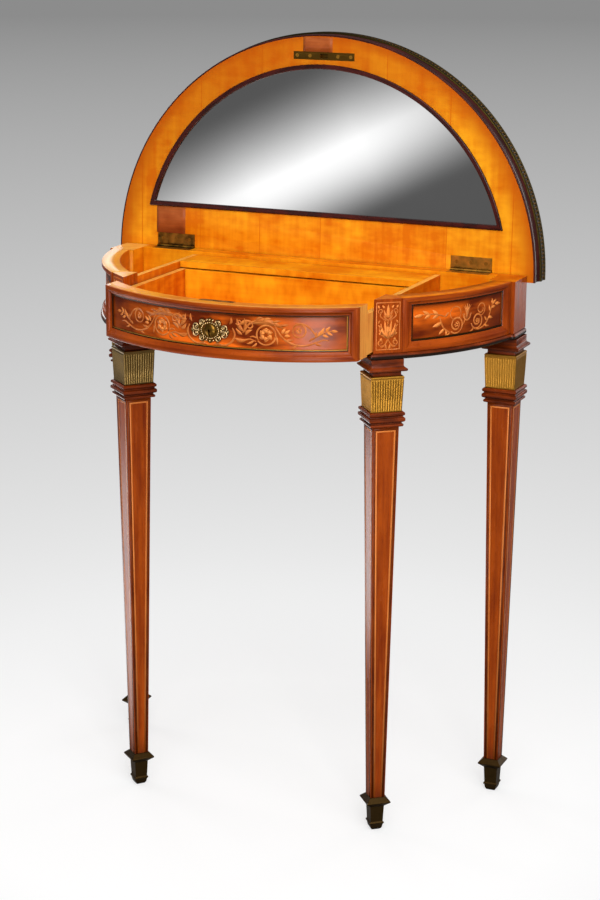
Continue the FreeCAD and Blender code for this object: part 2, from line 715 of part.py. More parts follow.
def make_hinges():
    half = S.hinge_length / 2
    barrel = S.hinge_length * BARREL_SHARE
    outer_barrels = ((-half, barrel - half), (half - barrel, half))
    inner_barrels = ((barrel - half + S.barrel_room, half - barrel - S.barrel_room),)
    case_leaves = []
    lid_leaves = []
    pins = []
    screws = []
    for side, word in SIDE_NAMES.items():
        spots = hinge_screw_spots(side)
        solid, bore = hinge_leaf(f"case_leaf_{word}", side, AXIS_DEPTH, AXIS_LEVEL,
                                 S.case_top - S.leaf_thickness, S.case_top, outer_barrels)
        holes = [
            case_screw(f"case_leaf_hole_{word}{index}", spot, S.seat_gap) for index, spot in enumerate(spots)
        ]
        case_leaves.append(cut(f"case_leaf_{word}", solid, [bore] + holes))
        screws += [case_screw(f"case_screw_{word}{index}", spot, ZERO) for index, spot in enumerate(spots)]
        solid, bore = hinge_leaf(f"lid_leaf_{word}", side, -S.lid_setback, -S.lid_gap / 2,
                                 ZERO, S.leaf_thickness, inner_barrels)
        holes = [
            lid_screw(f"lid_leaf_hole_{word}{index}", across, -S.lid_setback - forwards, S.seat_gap)
            for index, (across, forwards) in enumerate(spots)
        ]
        lid_leaves.append(cut(f"lid_leaf_{word}", solid, [bore] + holes))
        start = (HINGE_SPREAD * side - half, AXIS_DEPTH, AXIS_LEVEL)
        pins.append(lying(f"pin_{word}", S.pin_radius, S.hinge_length, start, "x"))
    finish("hinge_case_leaves", group("hinge_case_leaves", case_leaves))
    finish("hinge_pins", group("hinge_pins", pins))
    finish("hinge_case_screws", group("hinge_case_screws", screws))
    open_lid(finish("hinge_lid_leaves", group("hinge_lid_leaves", lid_leaves)))


# Lid, drawn closed about the arc centre of its underside and then opened
def open_lid(piece):
    """Turn a lid piece about the hinge axis to where the open lid leans on its stop."""
    angle = S.lid_open_angle
    half_gap = S.lid_gap / 2
    turn(piece, (1, 0, 0), -angle)
    depth = AXIS_DEPTH + S.lid_setback * cosine(angle) + half_gap * sine(angle)
    level = AXIS_LEVEL - S.lid_setback * sine(angle) + half_gap * cosine(angle)
    place(piece, ZERO, depth, level)
    return piece


def half_disc(name, radius, back, bottom, top):
    """A disc about the lid's arc centre, cut straight along its back."""
    whole = upright(f"{name}_round", radius, bottom, top, ZERO, ZERO)
    spare = block(f"{name}_spare", (-radius - S.overrun, back, bottom - S.overrun),
                  (radius + S.overrun, radius + S.overrun, top + S.overrun))
    return cut(f"{name}_half", whole, [spare])


def lid_border(node, corners):
    """A section turned about the lid's arc centre and cut off along the straight edge."""
    body = new_body(f"{node}_turned")
    sketch = polygon(body, f"{node}_section", corners, role="XZ_Plane")
    feature = body.newObject("PartDesign::Revolution", f"{node}_turning")
    feature.Profile = sketch
    feature.ReferenceAxis = (sketch, ["V_Axis"])
    feature.Angle = FULL_TURN
    reach = LID_RADIUS + S.lid_edge_width + S.lid_band_width + S.overrun
    spare = block(f"{node}_spare", (-reach, S.lid_back_margin, -S.overrun),
                  (reach, reach, S.lid_thickness + S.overrun))
    open_lid(finish(node, cut(node, body, [spare])))


def keep_screw_spots():
    return [S.keep_length * share for share in KEEP_SCREW_SHARES]


def make_lid():
    board = half_disc("lid_blank", LID_RADIUS - S.seat_gap, S.lid_back_margin, ZERO, S.lid_thickness)
    frame_recess = half_disc("frame_recess", MIRROR_RADIUS + S.seat_gap, S.seat_gap - S.mirror_base,
                             -S.overrun, S.mirror_frame_sunk + S.seat_gap)
    glass_radius = MIRROR_RADIUS - S.mirror_rebate
    glass_back = -S.mirror_base - S.mirror_rebate
    glass_top = S.mirror_frame_sunk + S.mirror_thickness
    glass_recess = half_disc("glass_recess", glass_radius + S.seat_gap, glass_back + S.seat_gap, -S.overrun,
                             glass_top + S.seat_gap)
    keep_half = S.keep_length / 2 + S.seat_gap
    keep_front = -KEEP_DISTANCE - S.keep_width / 2
    keep_back = S.keep_width / 2 - KEEP_DISTANCE
    keep_recess = block("keep_recess", (-keep_half, keep_front - S.seat_gap, -S.overrun),
                        (keep_half, keep_back + S.seat_gap, S.keep_thickness))
    mortise_half = S.bolt_width / 2 + S.keep_room
    mortise_depth = S.bolt_thickness / 2 + S.keep_room
    mortise = block("keep_mortise", (-mortise_half, -KEEP_DISTANCE - mortise_depth, -S.overrun),
                    (mortise_half, mortise_depth - KEEP_DISTANCE, S.bolt_throw))
    recesses = [frame_recess, glass_recess, keep_recess, mortise]
    knuckle_reach = S.knuckle_radius + S.knuckle_room
    screw_places = []
    for side, word in SIDE_NAMES.items():
        near = HINGE_SPREAD * side - S.hinge_length / 2 - S.knuckle_room
        far = HINGE_SPREAD * side + S.hinge_length / 2 + S.knuckle_room
        recesses.append(
            block(f"lid_knuckle_{word}", (near, -S.lid_setback - knuckle_reach, -S.overrun),
                  (far, knuckle_reach - S.lid_setback, knuckle_reach - S.lid_gap / 2))
        )
        recesses.append(
            block(f"lid_leaf_recess_{word}", (near, -S.lid_setback - S.leaf_depth - S.seat_gap, -S.overrun),
                  (far, -S.lid_setback, S.leaf_thickness + S.seat_gap))
        )
        screw_places += [(across, -S.lid_setback - forwards) for across, forwards in hinge_screw_spots(side)]
    screw_places += [(across, -KEEP_DISTANCE) for across in keep_screw_spots()]
    recesses += [
        lid_screw(f"lid_screw_hole{index}", across, depth, S.seat_gap)
        for index, (across, depth) in enumerate(screw_places)
    ]
    open_lid(finish("lid_board", cut("lid_board", board, recesses)))

    screws = [
        lid_screw(f"lid_screw{index}", across, depth, ZERO)
        for index, (across, depth) in enumerate(screw_places)
    ]
    open_lid(finish("lid_screws", group("lid_screws", screws)))

    edge = [(LID_RADIUS + S.lid_edge_width * out, S.lid_thickness * up) for out, up in LID_EDGE_SHARES]
    lid_border("lid_edge_moulding", edge)
    band_radius = LID_RADIUS + S.lid_edge_width + S.seat_gap
    band_bottom = S.lid_thickness - S.lid_band_height
    band = [
        (band_radius + S.lid_band_width * out, band_bottom + S.lid_band_height * up)
        for out, up in LID_BAND_SHARES
    ]
    lid_border("lid_metal_band", band)

    frame_inner = MIRROR_RADIUS - S.mirror_frame_width
    frame_back = -S.mirror_base - S.mirror_frame_width
    surround = half_disc("mirror_surround", MIRROR_RADIUS, -S.mirror_base, -S.mirror_frame_proud,
                         S.mirror_frame_sunk)
    sight = half_disc("mirror_sight", frame_inner, frame_back, -S.mirror_frame_proud - S.overrun,
                      S.mirror_frame_sunk + S.overrun)
    open_lid(finish("mirror_frame", cut("mirror_frame", surround, [sight])))
    glass = half_disc("mirror_blank", glass_radius, glass_back, S.mirror_frame_sunk, glass_top)
    open_lid(finish("mirror_glass", glass))

    plate = block("keep_blank", (S.seat_gap - keep_half, keep_front, ZERO),
                  (keep_half - S.seat_gap, keep_back, S.keep_thickness))
    holes = [
        lid_screw(f"keep_screw_hole{index}", across, -KEEP_DISTANCE, S.seat_gap)
        for index, across in enumerate(keep_screw_spots())
    ]
    slot = block("keep_slot", (-mortise_half, -KEEP_DISTANCE - mortise_depth, -S.overrun),
                 (mortise_half, mortise_depth - KEEP_DISTANCE, S.keep_thickness + S.overrun))
    open_lid(finish("keep_plate", cut("keep_plate", plate, holes + [slot])))


# Drawer, drawn closed and then pulled out
def pull_out(piece):
    place(piece, ZERO, -S.drawer_out, ZERO)
    return piece


def keyhole(name):
    """Keyhole along Y, from in front of the escutcheon into the lock."""
    start = (ZERO, BOLT_DEPTH - S.bolt_thickness / 2 - S.bolt_room, KEYHOLE_LEVEL)
    reach = S.frieze_radius + S.boss_rise + S.overrun
    length = reach - (S.back_offset - start[1])
    round_end = lying(f"{name}_round", S.keyhole_radius, length, start, "front")
    half = S.keyhole_slot / 2
    slot = block(f"{name}_slot", (-half, start[1] - length, KEYHOLE_LEVEL - S.keyhole_drop),
                 (half, start[1], KEYHOLE_LEVEL))
    return joined(name, [round_end, slot])


def make_drawer_front():
    far = S.frieze_radius + S.overrun
    opening = block("front_stretch", (-DRAWER_HALF, S.back_offset - far, FRONT_BOTTOM),
                    (DRAWER_HALF, S.back_offset, FRONT_TOP))
    lock_half = S.lock_width / 2 + S.seat_gap
    lock_front = BOLT_DEPTH - S.lock_depth / 2 - S.seat_gap
    lock_recess = block("lock_recess", (-lock_half, lock_front, LOCK_BOTTOM - S.seat_gap),
                        (lock_half, S.back_offset, FRONT_TOP + S.overrun))
    core = ring("front_core", CORE_INNER_RADIUS, CORE_RADIUS, FRONT_BOTTOM, FRONT_TOP)
    core = shared("front_core_stretch", core, opening)
    pull_out(finish("drawer_front", cut("drawer_front", core, [lock_recess, keyhole("front_keyhole")])))
    sight_half = DRAWER_HALF - S.frame_end_width
    sight = block("front_sight", (-sight_half, S.back_offset - far, FRONT_BOTTOM + S.frame_bottom_width),
                  (sight_half, S.back_offset, FRONT_TOP - S.frame_top_width))
    face = ring("front_face", CORE_RADIUS + S.seat_gap, S.frieze_radius, FRONT_BOTTOM, FRONT_TOP)
    surround = shared("front_surround", face, opening)
    pull_out(finish("drawer_frame", cut("drawer_frame", surround, [sight])))
    veneer = ring("front_veneer", CORE_RADIUS + S.seat_gap, PANEL_RADIUS, FRONT_BOTTOM, FRONT_TOP)
    panel = shared("front_panel_blank", veneer, sight)
    pull_out(finish("drawer_panel", cut("drawer_panel", panel, [keyhole("panel_keyhole")])))


def make_drawer_box():
    side_bottom = BASE_TOP + S.runner_height + S.slide_gap
    side_top = INNER_TOP - S.deck_thickness - S.drawer_deck_room
    back = RAIL_FACE - S.drawer_back_room
    back_front = back - S.drawer_side_thickness
    inner_half = DRAWER_HALF - S.drawer_side_thickness
    far = S.back_offset - S.frieze_radius
    inside = CORE_INNER_RADIUS - S.seat_gap
    for side, word in SIDE_NAMES.items():
        near = inner_half * side
        edge = DRAWER_HALF * side
        low, high = (near, edge) if side == RIGHT else (edge, near)
        blank = block(f"drawer_side_blank_{word}", (low, far, side_bottom), (high, back, side_top))
        limit = upright(f"drawer_side_limit_{word}", inside, side_bottom - S.overrun, side_top + S.overrun)
        pull_out(finish(f"drawer_side_{word}", shared(f"drawer_side_{word}", blank, limit)))
    wall = block("drawer_back_blank", (-inner_half, back_front, side_bottom), (inner_half, back, side_top))
    pull_out(finish("drawer_back", group("drawer_back", [wall])))
    bottom = side_bottom + S.drawer_bottom_lift
    bottom_top = bottom + S.drawer_bottom_thickness
    blank = block("drawer_bottom_blank", (-inner_half, far, bottom), (inner_half, back_front, bottom_top))
    limit = upright("drawer_bottom_limit", inside, bottom - S.overrun, bottom_top + S.overrun)
    pull_out(finish("drawer_bottom", shared("drawer_bottom", blank, limit)))


def make_lock():
    """Lock case let into the drawer's front, its bolt, and the escutcheon in front."""
    half = S.lock_width / 2
    depth_half = S.lock_depth / 2
    case = block("lock_blank", (-half, BOLT_DEPTH - depth_half, LOCK_BOTTOM),
                 (half, BOLT_DEPTH + depth_half, FRONT_TOP))
    bolt_half = S.bolt_width / 2
    bolt_depth_half = S.bolt_thickness / 2
    bolt_bottom = FRONT_TOP - S.bolt_length
    channel = block(
        "bolt_channel",
        (-bolt_half - S.bolt_room, BOLT_DEPTH - bolt_depth_half - S.bolt_room, bolt_bottom - S.bolt_room),
        (bolt_half + S.bolt_room, BOLT_DEPTH + bolt_depth_half + S.bolt_room, FRONT_TOP + S.overrun),
    )
    pull_out(finish("lock_case", cut("lock_case", case, [channel, keyhole("lock_keyhole")])))
    bolt = block("bolt_blank", (-bolt_half, BOLT_DEPTH - bolt_depth_half, bolt_bottom),
                 (bolt_half, BOLT_DEPTH + bolt_depth_half, FRONT_TOP))
    pull_out(finish("lock_bolt", group("lock_bolt", [bolt])))

    face = S.back_offset - PANEL_RADIUS - S.seat_gap
    pieces = []
    for index, (across_share, up_share, radius_share) in enumerate(LOBE_SHARES):
        start = (S.escutcheon_width * across_share, face, KEYHOLE_LEVEL + S.escutcheon_height * up_share)
        pieces.append(
            lying(f"lobe{index}", S.escutcheon_height * radius_share, S.escutcheon_thickness, start, "front")
        )
    dome = doc.addObject("Part::Ellipsoid", "boss_dome")
    bind(dome, Radius1=S.boss_height / 2, Radius2=S.boss_width / 2, Radius3=S.boss_rise)
    place(dome, ZERO, face, KEYHOLE_LEVEL)
    reach = face - S.boss_rise - S.overrun
    in_front = block("boss_front", (-S.boss_width, reach, KEYHOLE_LEVEL - S.boss_height),
                     (S.boss_width, face, KEYHOLE_LEVEL + S.boss_height))
    pieces.append(shared("boss", dome, in_front))
    ornament = joined("escutcheon_solid", pieces)
    pull_out(finish("escutcheon", cut("escutcheon", ornament, [keyhole("escutcheon_keyhole")])))


def check_objects():
    """Stop if an object failed or a sub-part has no sound shape."""
    for thing in doc.Objects:
        if "Invalid" in thing.State or "Error" in thing.State:
            raise RuntimeError(f"{thing.Name} failed: {thing.State}")
    for node, thing in nodes.items():
        if thing.Shape.isNull() or not thing.Shape.isValid() or not thing.Shape.Solids:
            raise RuntimeError(f"{node} has no sound solid")
        if thing.Label != node:
            raise RuntimeError(f"{node} carries the label {thing.Label}")


def write_parts():
    os.makedirs("parts", exist_ok=True)
    for node, thing in nodes.items():
        thing.Shape.exportStep(os.path.join("parts", f"{node}.step"))
        print(f"{node}: {len(thing.Shape.Solids)} solids, {thing.Shape.Volume:.0f} mm3")
    print(f"{len(nodes)} sub-parts")


make_legs()
make_posts()
make_friezes()
make_base()
make_inside()
make_hinges()
make_lid()
make_drawer_front()
make_drawer_box()
make_lock()
doc.recompute()
check_objects()
write_parts()
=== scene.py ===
"""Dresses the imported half-round dressing table: polished woods, marquetry, metal fittings, mirror and plain studio."""

import functools
import json
import math

import bmesh
import bpy
from mathutils import Matrix, Vector

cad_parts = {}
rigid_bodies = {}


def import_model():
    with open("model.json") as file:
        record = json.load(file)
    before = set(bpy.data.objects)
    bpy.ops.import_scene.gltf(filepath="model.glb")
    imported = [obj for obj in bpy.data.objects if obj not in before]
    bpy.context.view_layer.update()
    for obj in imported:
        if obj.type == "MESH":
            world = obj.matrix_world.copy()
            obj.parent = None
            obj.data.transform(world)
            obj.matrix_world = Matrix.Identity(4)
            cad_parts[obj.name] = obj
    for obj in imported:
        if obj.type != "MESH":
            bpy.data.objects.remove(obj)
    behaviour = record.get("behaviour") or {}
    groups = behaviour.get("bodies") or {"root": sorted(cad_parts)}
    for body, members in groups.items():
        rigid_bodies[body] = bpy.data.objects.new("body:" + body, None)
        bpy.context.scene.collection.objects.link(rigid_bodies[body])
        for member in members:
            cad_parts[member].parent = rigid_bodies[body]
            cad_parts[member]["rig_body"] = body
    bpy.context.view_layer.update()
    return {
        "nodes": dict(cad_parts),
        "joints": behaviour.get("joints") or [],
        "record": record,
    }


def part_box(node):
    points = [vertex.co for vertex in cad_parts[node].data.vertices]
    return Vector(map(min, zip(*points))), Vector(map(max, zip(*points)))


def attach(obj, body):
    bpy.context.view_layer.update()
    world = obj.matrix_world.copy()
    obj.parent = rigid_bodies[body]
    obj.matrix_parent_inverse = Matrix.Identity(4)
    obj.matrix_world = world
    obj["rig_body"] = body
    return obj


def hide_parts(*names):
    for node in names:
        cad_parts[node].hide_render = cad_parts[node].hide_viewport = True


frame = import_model()

bl_info = {
    "name": "Half-round dressing table",
    "version": (1, 0, 0),
    "blender": (4, 5, 0),
    "location": "View3D > Sidebar > Table",
    "description": "Dresses the packed dressing table and sets it in a plain studio",
    "category": "Object",
}

# Places of the CAD that the details are fitted to. Lengths are in mm, as in the whole file; MM turns them to metres.
MM = 0.001
JOINTS = {joint["name"]: joint for joint in frame["joints"]}
ARC_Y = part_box("back_rail")[1].y / MM
DRAWER_OUT = -JOINTS["drawer_slide"]["range_m"][0] / MM
CASE_BOTTOM, CASE_TOP = (corner.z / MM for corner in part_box("front_block_right"))
DRAWER_BOTTOM, DRAWER_TOP = (corner.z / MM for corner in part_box("drawer_frame"))
CORE_INNER, CORE_RADIUS, PANEL_RADIUS, FRIEZE_RADIUS = 286.0, 305.0, 306.2, 312.0
FRONT_TURN = math.radians(40.2)
BLOCK_HALF, BLOCK_FACE = 20.0, 310.0
STILE_DEPTH, STILE_IN_WELL = 52.0, 16.0
DRAWER_HALF = 184.02
FRAME_TOP, FRAME_BOTTOM, FRAME_END = 10.0, 13.0, 14.0
FRAME_SIDES = ("low", "right", "high", "left")
SIDES = (("left", -1), ("right", 1))
CORNERS = [f"{row}_{word}" for row in ("front", "back") for word, _ in SIDES]
SHAFT_TOP, SHAFT_TOP_SIDE = 586.0, 37.0
SHAFT_FOOT, SHAFT_FOOT_SIDE = 50.0, 21.0
CAPITAL_BOTTOM, CAPITAL_HEIGHT, CAPITAL_SIDE = 607.5, 48.5, 47.0
LID_ANGLE = math.radians(92)
LID_RADIUS, LID_BACK, LID_THICKNESS = 322.0, 2.3, 40.0
BAND_INNER, BAND_LOW = 325.0, 19.0
KEEP_BACK, KEEP_FRONT, KEEP_HALF_HOLE, KEEP_SHALLOW, KEEP_DEEP = 291.0, 298.0, 6.5, 1.6, 10.0
KEYHOLE_REACH, ESCUTCHEON_FACE, BRIGHTER_FROM = 9.5, 1.2, 100.0
LID_FROM_HINGE = (8.0, 0.5)
HINGE = [v / MM for v in JOINTS["lid_hinge"]["pos_m"]]
LID_PLACE = Matrix.Translation((
    0,
    HINGE[1] + LID_FROM_HINGE[0] * math.cos(LID_ANGLE) + LID_FROM_HINGE[1] * math.sin(LID_ANGLE),
    HINGE[2] - LID_FROM_HINGE[0] * math.sin(LID_ANGLE) + LID_FROM_HINGE[1] * math.cos(LID_ANGLE),
)) @ Matrix.Rotation(-LID_ANGLE, 4, "X")
LID_TURN = LID_PLACE.to_3x3()
# How finely curved fronts are divided, how thick inlay sheets are for their lift, and how sharp an edge is eased.
ARC_STEPS = 40
SHEET_SHARE = 2.5
EASE_LIMIT = math.radians(28)


def linear(code):
    """Linear colour of an sRGB hex value such as #8A3E12."""
    shares = [int(code[i:i + 2], 16) / 255 for i in (1, 3, 5)]
    return tuple(s / 12.92 if s <= 0.04045 else ((s + 0.055) / 1.055) ** 2.4 for s in shares)


# ---------------------------------------------------------------- what a user would change

def length(name, description, default):
    """A length in metres, given in mm."""
    return bpy.props.FloatProperty(name=name, description=description, default=default * MM, min=0.0, unit="LENGTH")


def colour(name, description, code):
    """A colour, given as an sRGB hex value."""
    return bpy.props.FloatVectorProperty(name=name, description=description, subtype="COLOR", size=3, min=0.0, max=1.0,
                                         default=linear(code))


class TableSizes(bpy.types.PropertyGroup):
    """Sizes of the details that are added to the CAD"""
    edge_ease: length("Edge easing", "Width of the rounding on the edges of boards", 0.5)
    string_width: length("Stringing width", "Width of the light lines let into the legs", 2.2)
    string_inset: length("Stringing inset", "Distance of the lines on the legs from the edge of the face", 4.5)
    inlay_lift: length("Inlay lift", "How far the marquetry stands above its ground", 0.12)
    reeds: bpy.props.IntProperty(name="Reeds", description="Reeds on each face of a capital", default=13, min=3)
    bead_pitch: length("Bead pitch", "Distance between the beads on the lid's metal band", 5.4)
    leaf_width: length("Veneer leaf", "Width of one leaf of the satinwood veneer", 96.0)


class TableColours(bpy.types.PropertyGroup):
    """Colours of the table's finishes"""
    mahogany: colour("Mahogany", "Light streaks of the polished mahogany", "#BC520C")
    mahogany_deep: colour("Mahogany, deep", "Dark streaks of the polished mahogany", "#7A2804")
    moulding: colour("Mouldings", "Light streaks of the darker mouldings", "#8E380C")
    moulding_deep: colour("Mouldings, deep", "Dark streaks of the mouldings", "#4A1A06")
    # Also paints the shade on the lower edge of the moulding under the case.
    ebonised_and_shade: colour("Ebonised bead", "Black stained beads", "#20130A")
    satinwood: colour("Satinwood", "Light parts of the satinwood", "#FFAC18")
    satinwood_deep: colour("Satinwood, deep", "Dark parts of the satinwood", "#DE7202")
    # Paler satinwood that paints the sheen of the light on the upper edges.
    sheen_satinwood: colour("Bleached satinwood", "Light parts of the upper edges", "#FFBE58")
    sheen_satinwood_deep: colour("Bleached satinwood, deep", "Dark parts of the upper edges", "#F0A038")
    bare_wood: colour("Bare wood", "Light parts of the unpolished wood of the drawer", "#FFAF4C")
    bare_wood_deep: colour("Bare wood, deep", "Dark parts of the unpolished wood", "#EA8A38")
    oxblood: colour("Oxblood frame", "Light streaks of the mirror's dark red frame", "#4C130C")
    oxblood_deep: colour("Oxblood frame, deep", "Dark streaks of the mirror's frame", "#240705")
    patch: colour("Patches", "Light parts of the patches in the lid's veneer", "#B8602C")
    patch_deep: colour("Patches, deep", "Dark parts of the patches", "#9C4A1E")
    stringing: colour("Stringing", "Light lines of the legs and blocks", "#EE8E44")
    stringing_deep: colour("Stringing, deep", "Darker stretches of the light lines", "#D87430")
    inlay: colour("Inlay", "Light boxwood of the marquetry", "#EA8A40")
    inlay_deep: colour("Inlay, scorched", "Boxwood shaded in hot sand", "#C06024")
    gilt: colour("Gilt bronze", "Rubbed high parts of the bronze", "#BC8632")
    gilt_dirt: colour("Gilt bronze, hollows", "Dirt in the hollows of the bronze", "#4A360F")
    patina: colour("Dark bronze", "Patinated bronze of the feet", "#46341A")
    patina_dirt: colour("Dark bronze, hollows", "Hollows of the patinated bronze", "#0E0905")
    brass: colour("Aged brass", "Brass of the hinges and the lock", "#A87A30")
    brass_dirt: colour("Aged brass, hollows", "Tarnish on the brass", "#2A1B09")
    silver: colour("Mirror", "Silvering seen through the glass", "#E6E6E6")
    floor_near: colour("Floor, near", "Paper floor round the table", "#FFFFFF")
    floor_far: colour("Floor, far", "Paper floor far away", "#8C8C8C")


def size(name):
    """A length that the user can change, in mm."""
    return getattr(bpy.context.scene.table_sizes, name) / MM


# ---------------------------------------------------------------- materials

def connect(node, inputs):
    """Links a node's inputs to outputs of other nodes, or sets them to numbers, vectors or colours."""
    for name, value in inputs.items():
        socket = node.inputs[name]
        if isinstance(value, bpy.types.NodeSocket):
            node.id_data.links.new(value, socket)
        else:
            socket.default_value = (*value, 1.0) if socket.type == "RGBA" else value


def add_node(tree, kind, inputs=None, out=0, **settings):
    """Adds a node with its settings and inputs, and gives one of its outputs, or all of them where out is None."""
    made = tree.nodes.new("ShaderNode" + kind)
    for name, value in settings.items():
        setattr(made, name, value)
    connect(made, inputs or {})
    return made.outputs if out is None else made.outputs[out]


def start_material(name, numbers=None):
    """A new material, add_node for its tree, and its shader, with plain numbers on the shader's own sockets."""
    material = bpy.data.materials.new(name)
    material.use_nodes = True
    shader = material.node_tree.nodes["Principled BSDF"]
    connect(shader, numbers or {})
    return material, functools.partial(add_node, material.node_tree), shader


def shaded(tone, *shares):
    """A colour times one share, or times a share for each of its red, green and blue."""
    return tuple(part * share for part, share in zip(tone, shares if len(shares) == 3 else shares * 3))


def wood(name, deep, pale, streak, mottle, rough, gloss, pore=(9, 0.9), pore_shade=0.5, contrast=0.16, leaves=False,
         recess=0.75, figure=0.5, broad=None, shades=()):
    """A wood whose grain runs along the first of the grain places. Sizes are (along, across) the grain in mm."""
    material, add, shader = start_material(name, {"Specular IOR Level": gloss})
    grain = add("UVMap", uv_map="grain")
    noise = []
    for along, across in (streak, mottle, pore, broad or mottle):
        place = add("Mapping", {"Vector": grain, "Scale": (1 / (along * MM), 1 / (across * MM), 1)})
        noise.append(add("TexNoise", {"Vector": place, "Scale": 1.0, "Detail": 3.0}, noise_dimensions="2D"))
    streaks, clouds, pores, broad_clouds = noise
    tone = add("Mix", {"Factor": figure, "A": streaks, "B": clouds})
    if broad:
        tone = add("Mix", {"Factor": 0.5, "A": tone, "B": broad_clouds})
    if leaves:
        width = size("leaf_width") * MM
        across_grain = add("SeparateXYZ", {0: grain}, 1)
        number = add("Math", {0: across_grain, 1: width}, operation="DIVIDE")
        whole = add("Math", {0: number}, operation="FLOOR")
        chance = add("TexWhiteNoise", {"W": whole}, noise_dimensions="1D")
        tone = add("Mix", {"Factor": 0.07, "A": tone, "B": chance})
        part = add("Math", {0: number}, operation="FRACT")
        # The joints between leaves are hairlines; they are drawn 1.2 mm wide to show.
        joint = add("Math", {0: part, 1: 1.2 * MM / width}, operation="LESS_THAN")
        tone = add("Math", {0: joint, 1: -0.16, 2: tone}, operation="MULTIPLY_ADD")
    share = add("MapRange", {"Value": tone, "From Min": 0.5 - contrast, "From Max": 0.5 + contrast})
    shade = add("Mix", {0: share, 6: deep, 7: pale}, 2, data_type="RGBA")
    for lay in shades:
        shade = lay(add, grain, shade)
    darker = shaded(deep, 0.42)
    open_pore = add("MapRange", {"Value": pores, "From Min": 0.56, "From Max": 0.8, "To Max": pore_shade})
    shade = add("Mix", {0: open_pore, 6: shade, 7: darker}, 2, data_type="RGBA")
    # Corners and recesses are darkened from ambient occlusion: painted shade, standing partly for old polish and dust
    # gathered there.
    corner = add("AmbientOcclusion", {"Distance": 8 * MM}, "AO", samples=6)
    corner_shade = add("MapRange", {"Value": corner, "From Min": 0.25, "From Max": 0.85, "To Min": 1 - recess, "To Max": 1.0})
    connect(shader, {
        "Base Color": add("Mix", {0: corner_shade, 6: darker, 7: shade}, 2, data_type="RGBA"),
        "Roughness": add("MapRange", {"Value": clouds, "To Min": rough - 0.07, "To Max": rough + 0.09}),
        "Normal": add("Bump", {"Height": pores, "Strength": 0.12, "Distance": 0.2 * MM}),
    })
    return material


def metal(name, high, hollow, rough, grit, hollow_depth=3.0, spread=(0.7, 1.45)):
    """A metal that is rubbed bright on its high parts and dull with dirt in its hollows. Sizes are in mm; a later
    spread lets the tarnish cloud flat faces too."""
    material, add, shader = start_material(name, {"Metallic": 1.0})
    place = add("TexCoord", out="Object")
    patches = add("TexNoise", {"Vector": place, "Scale": 1 / (grit * MM), "Detail": 4.0})
    open_sky = add("AmbientOcclusion", {"Distance": hollow_depth * MM}, "AO", samples=8)
    rubbed = add("Math", {0: open_sky, 1: patches}, operation="ADD")
    share = add("MapRange", {"Value": rubbed, "From Min": spread[0], "From Max": spread[1]})
    connect(shader, {
        "Base Color": add("Mix", {0: share, 6: hollow, 7: high}, 2, data_type="RGBA"),
        "Roughness": add("MapRange", {"Value": share, "To Min": rough + 0.25, "To Max": rough}),
        "Normal": add("Bump", {"Height": patches, "Strength": 0.15, "Distance": 0.2 * MM}),
    })
    return material


def silvered_glass(name, silver):
    """Silvered plate glass: a clear cool reflection, very slightly uneven from old silvering."""
    material, add, shader = start_material(name, {"Metallic": 1.0})
    place = add("TexCoord", out="Object")
    clouds = add("TexNoise", {"Vector": place, "Scale": 1 / (60 * MM), "Detail": 3.0})
    connect(shader, {
        "Base Color": add("Mix", {0: clouds, 6: shaded(silver, 0.94), 7: silver}, 2, data_type="RGBA"),
        "Roughness": add("MapRange", {"Value": clouds, "To Min": 0.02, "To Max": 0.05}),
    })
    return material


def crossbanding(band_start, line_width, line_colour, band_colour, fibre):
    """A band of veneer laid across the grain at the round edge, with a light line inside it. Sizes are in mm."""
    def lay(add, grain, field):
        radius = add("VectorMath", {0: grain}, "Value", operation="LENGTH")
        ray = add("VectorMath", {0: grain}, operation="NORMALIZE")
        fibres = add("TexNoise", {"Vector": ray, "Scale": LID_RADIUS / fibre, "Detail": 2.0}, noise_dimensions="2D")
        band = add("Mix", {0: fibres, 6: shaded(band_colour, 0.5), 7: band_colour}, 2, data_type="RGBA")
        outside = add("Math", {0: radius, 1: band_start * MM}, operation="GREATER_THAN")
        both = add("Mix", {0: outside, 6: field, 7: band}, 2, data_type="RGBA")
        on_line = add("Math", {0: radius, 1: band_start * MM, 2: line_width * MM / 2}, operation="COMPARE")
        return add("Mix", {0: on_line, 6: both, 7: line_colour}, 2, data_type="RGBA")
    return lay


def rim_shade(start, rim_colour):
    """A colour that deepens from a radius, in mm, towards the round edge of the lid, with painted shade towards its
    front and left.
    """
    def lay(add, grain, field):
        radius = add("VectorMath", {0: grain}, "Value", operation="LENGTH")
        rim = add("MapRange", {"Value": radius, "From Min": start * MM, "From Max": (LID_RADIUS + 4) * MM,
                               "To Max": 0.95}, interpolation_type="SMOOTHSTEP")
        # Painted shade: the front of the lid and its left are darker, where the lid is less lit.
        slant = add("VectorMath", {0: grain, 1: (0.85, -0.25, 0)}, "Value", operation="DOT_PRODUCT")
        front = add("MapRange", {"Value": slant, "From Min": 60 * MM, "From Max": 300 * MM, "To Max": 0.72},
                    interpolation_type="SMOOTHSTEP")
        share = add("Math", {0: rim, 1: front}, operation="MAXIMUM")
        return add("Mix", {0: share, 6: field, 7: shaded(rim_colour, 0.72, 0.55, 0.6)}, 2, data_type="RGBA")
    return lay


def darker_ends(start, reach, end_colour, most):
    """A colour that is brightest near the middle of the table and darker between two distances from it, in mm."""
    def lay(add, grain, field):
        along = add("SeparateXYZ", {0: grain})
        far = add("Math", {0: along}, operation="ABSOLUTE")
        share = add("MapRange", {"Value": far, "From Min": start * MM, "From Max": reach * MM, "To Max": most},
                    interpolation_type="SMOOTHSTEP")
        return add("Mix", {0: share, 6: field, 7: end_colour}, 2, data_type="RGBA")
    return lay


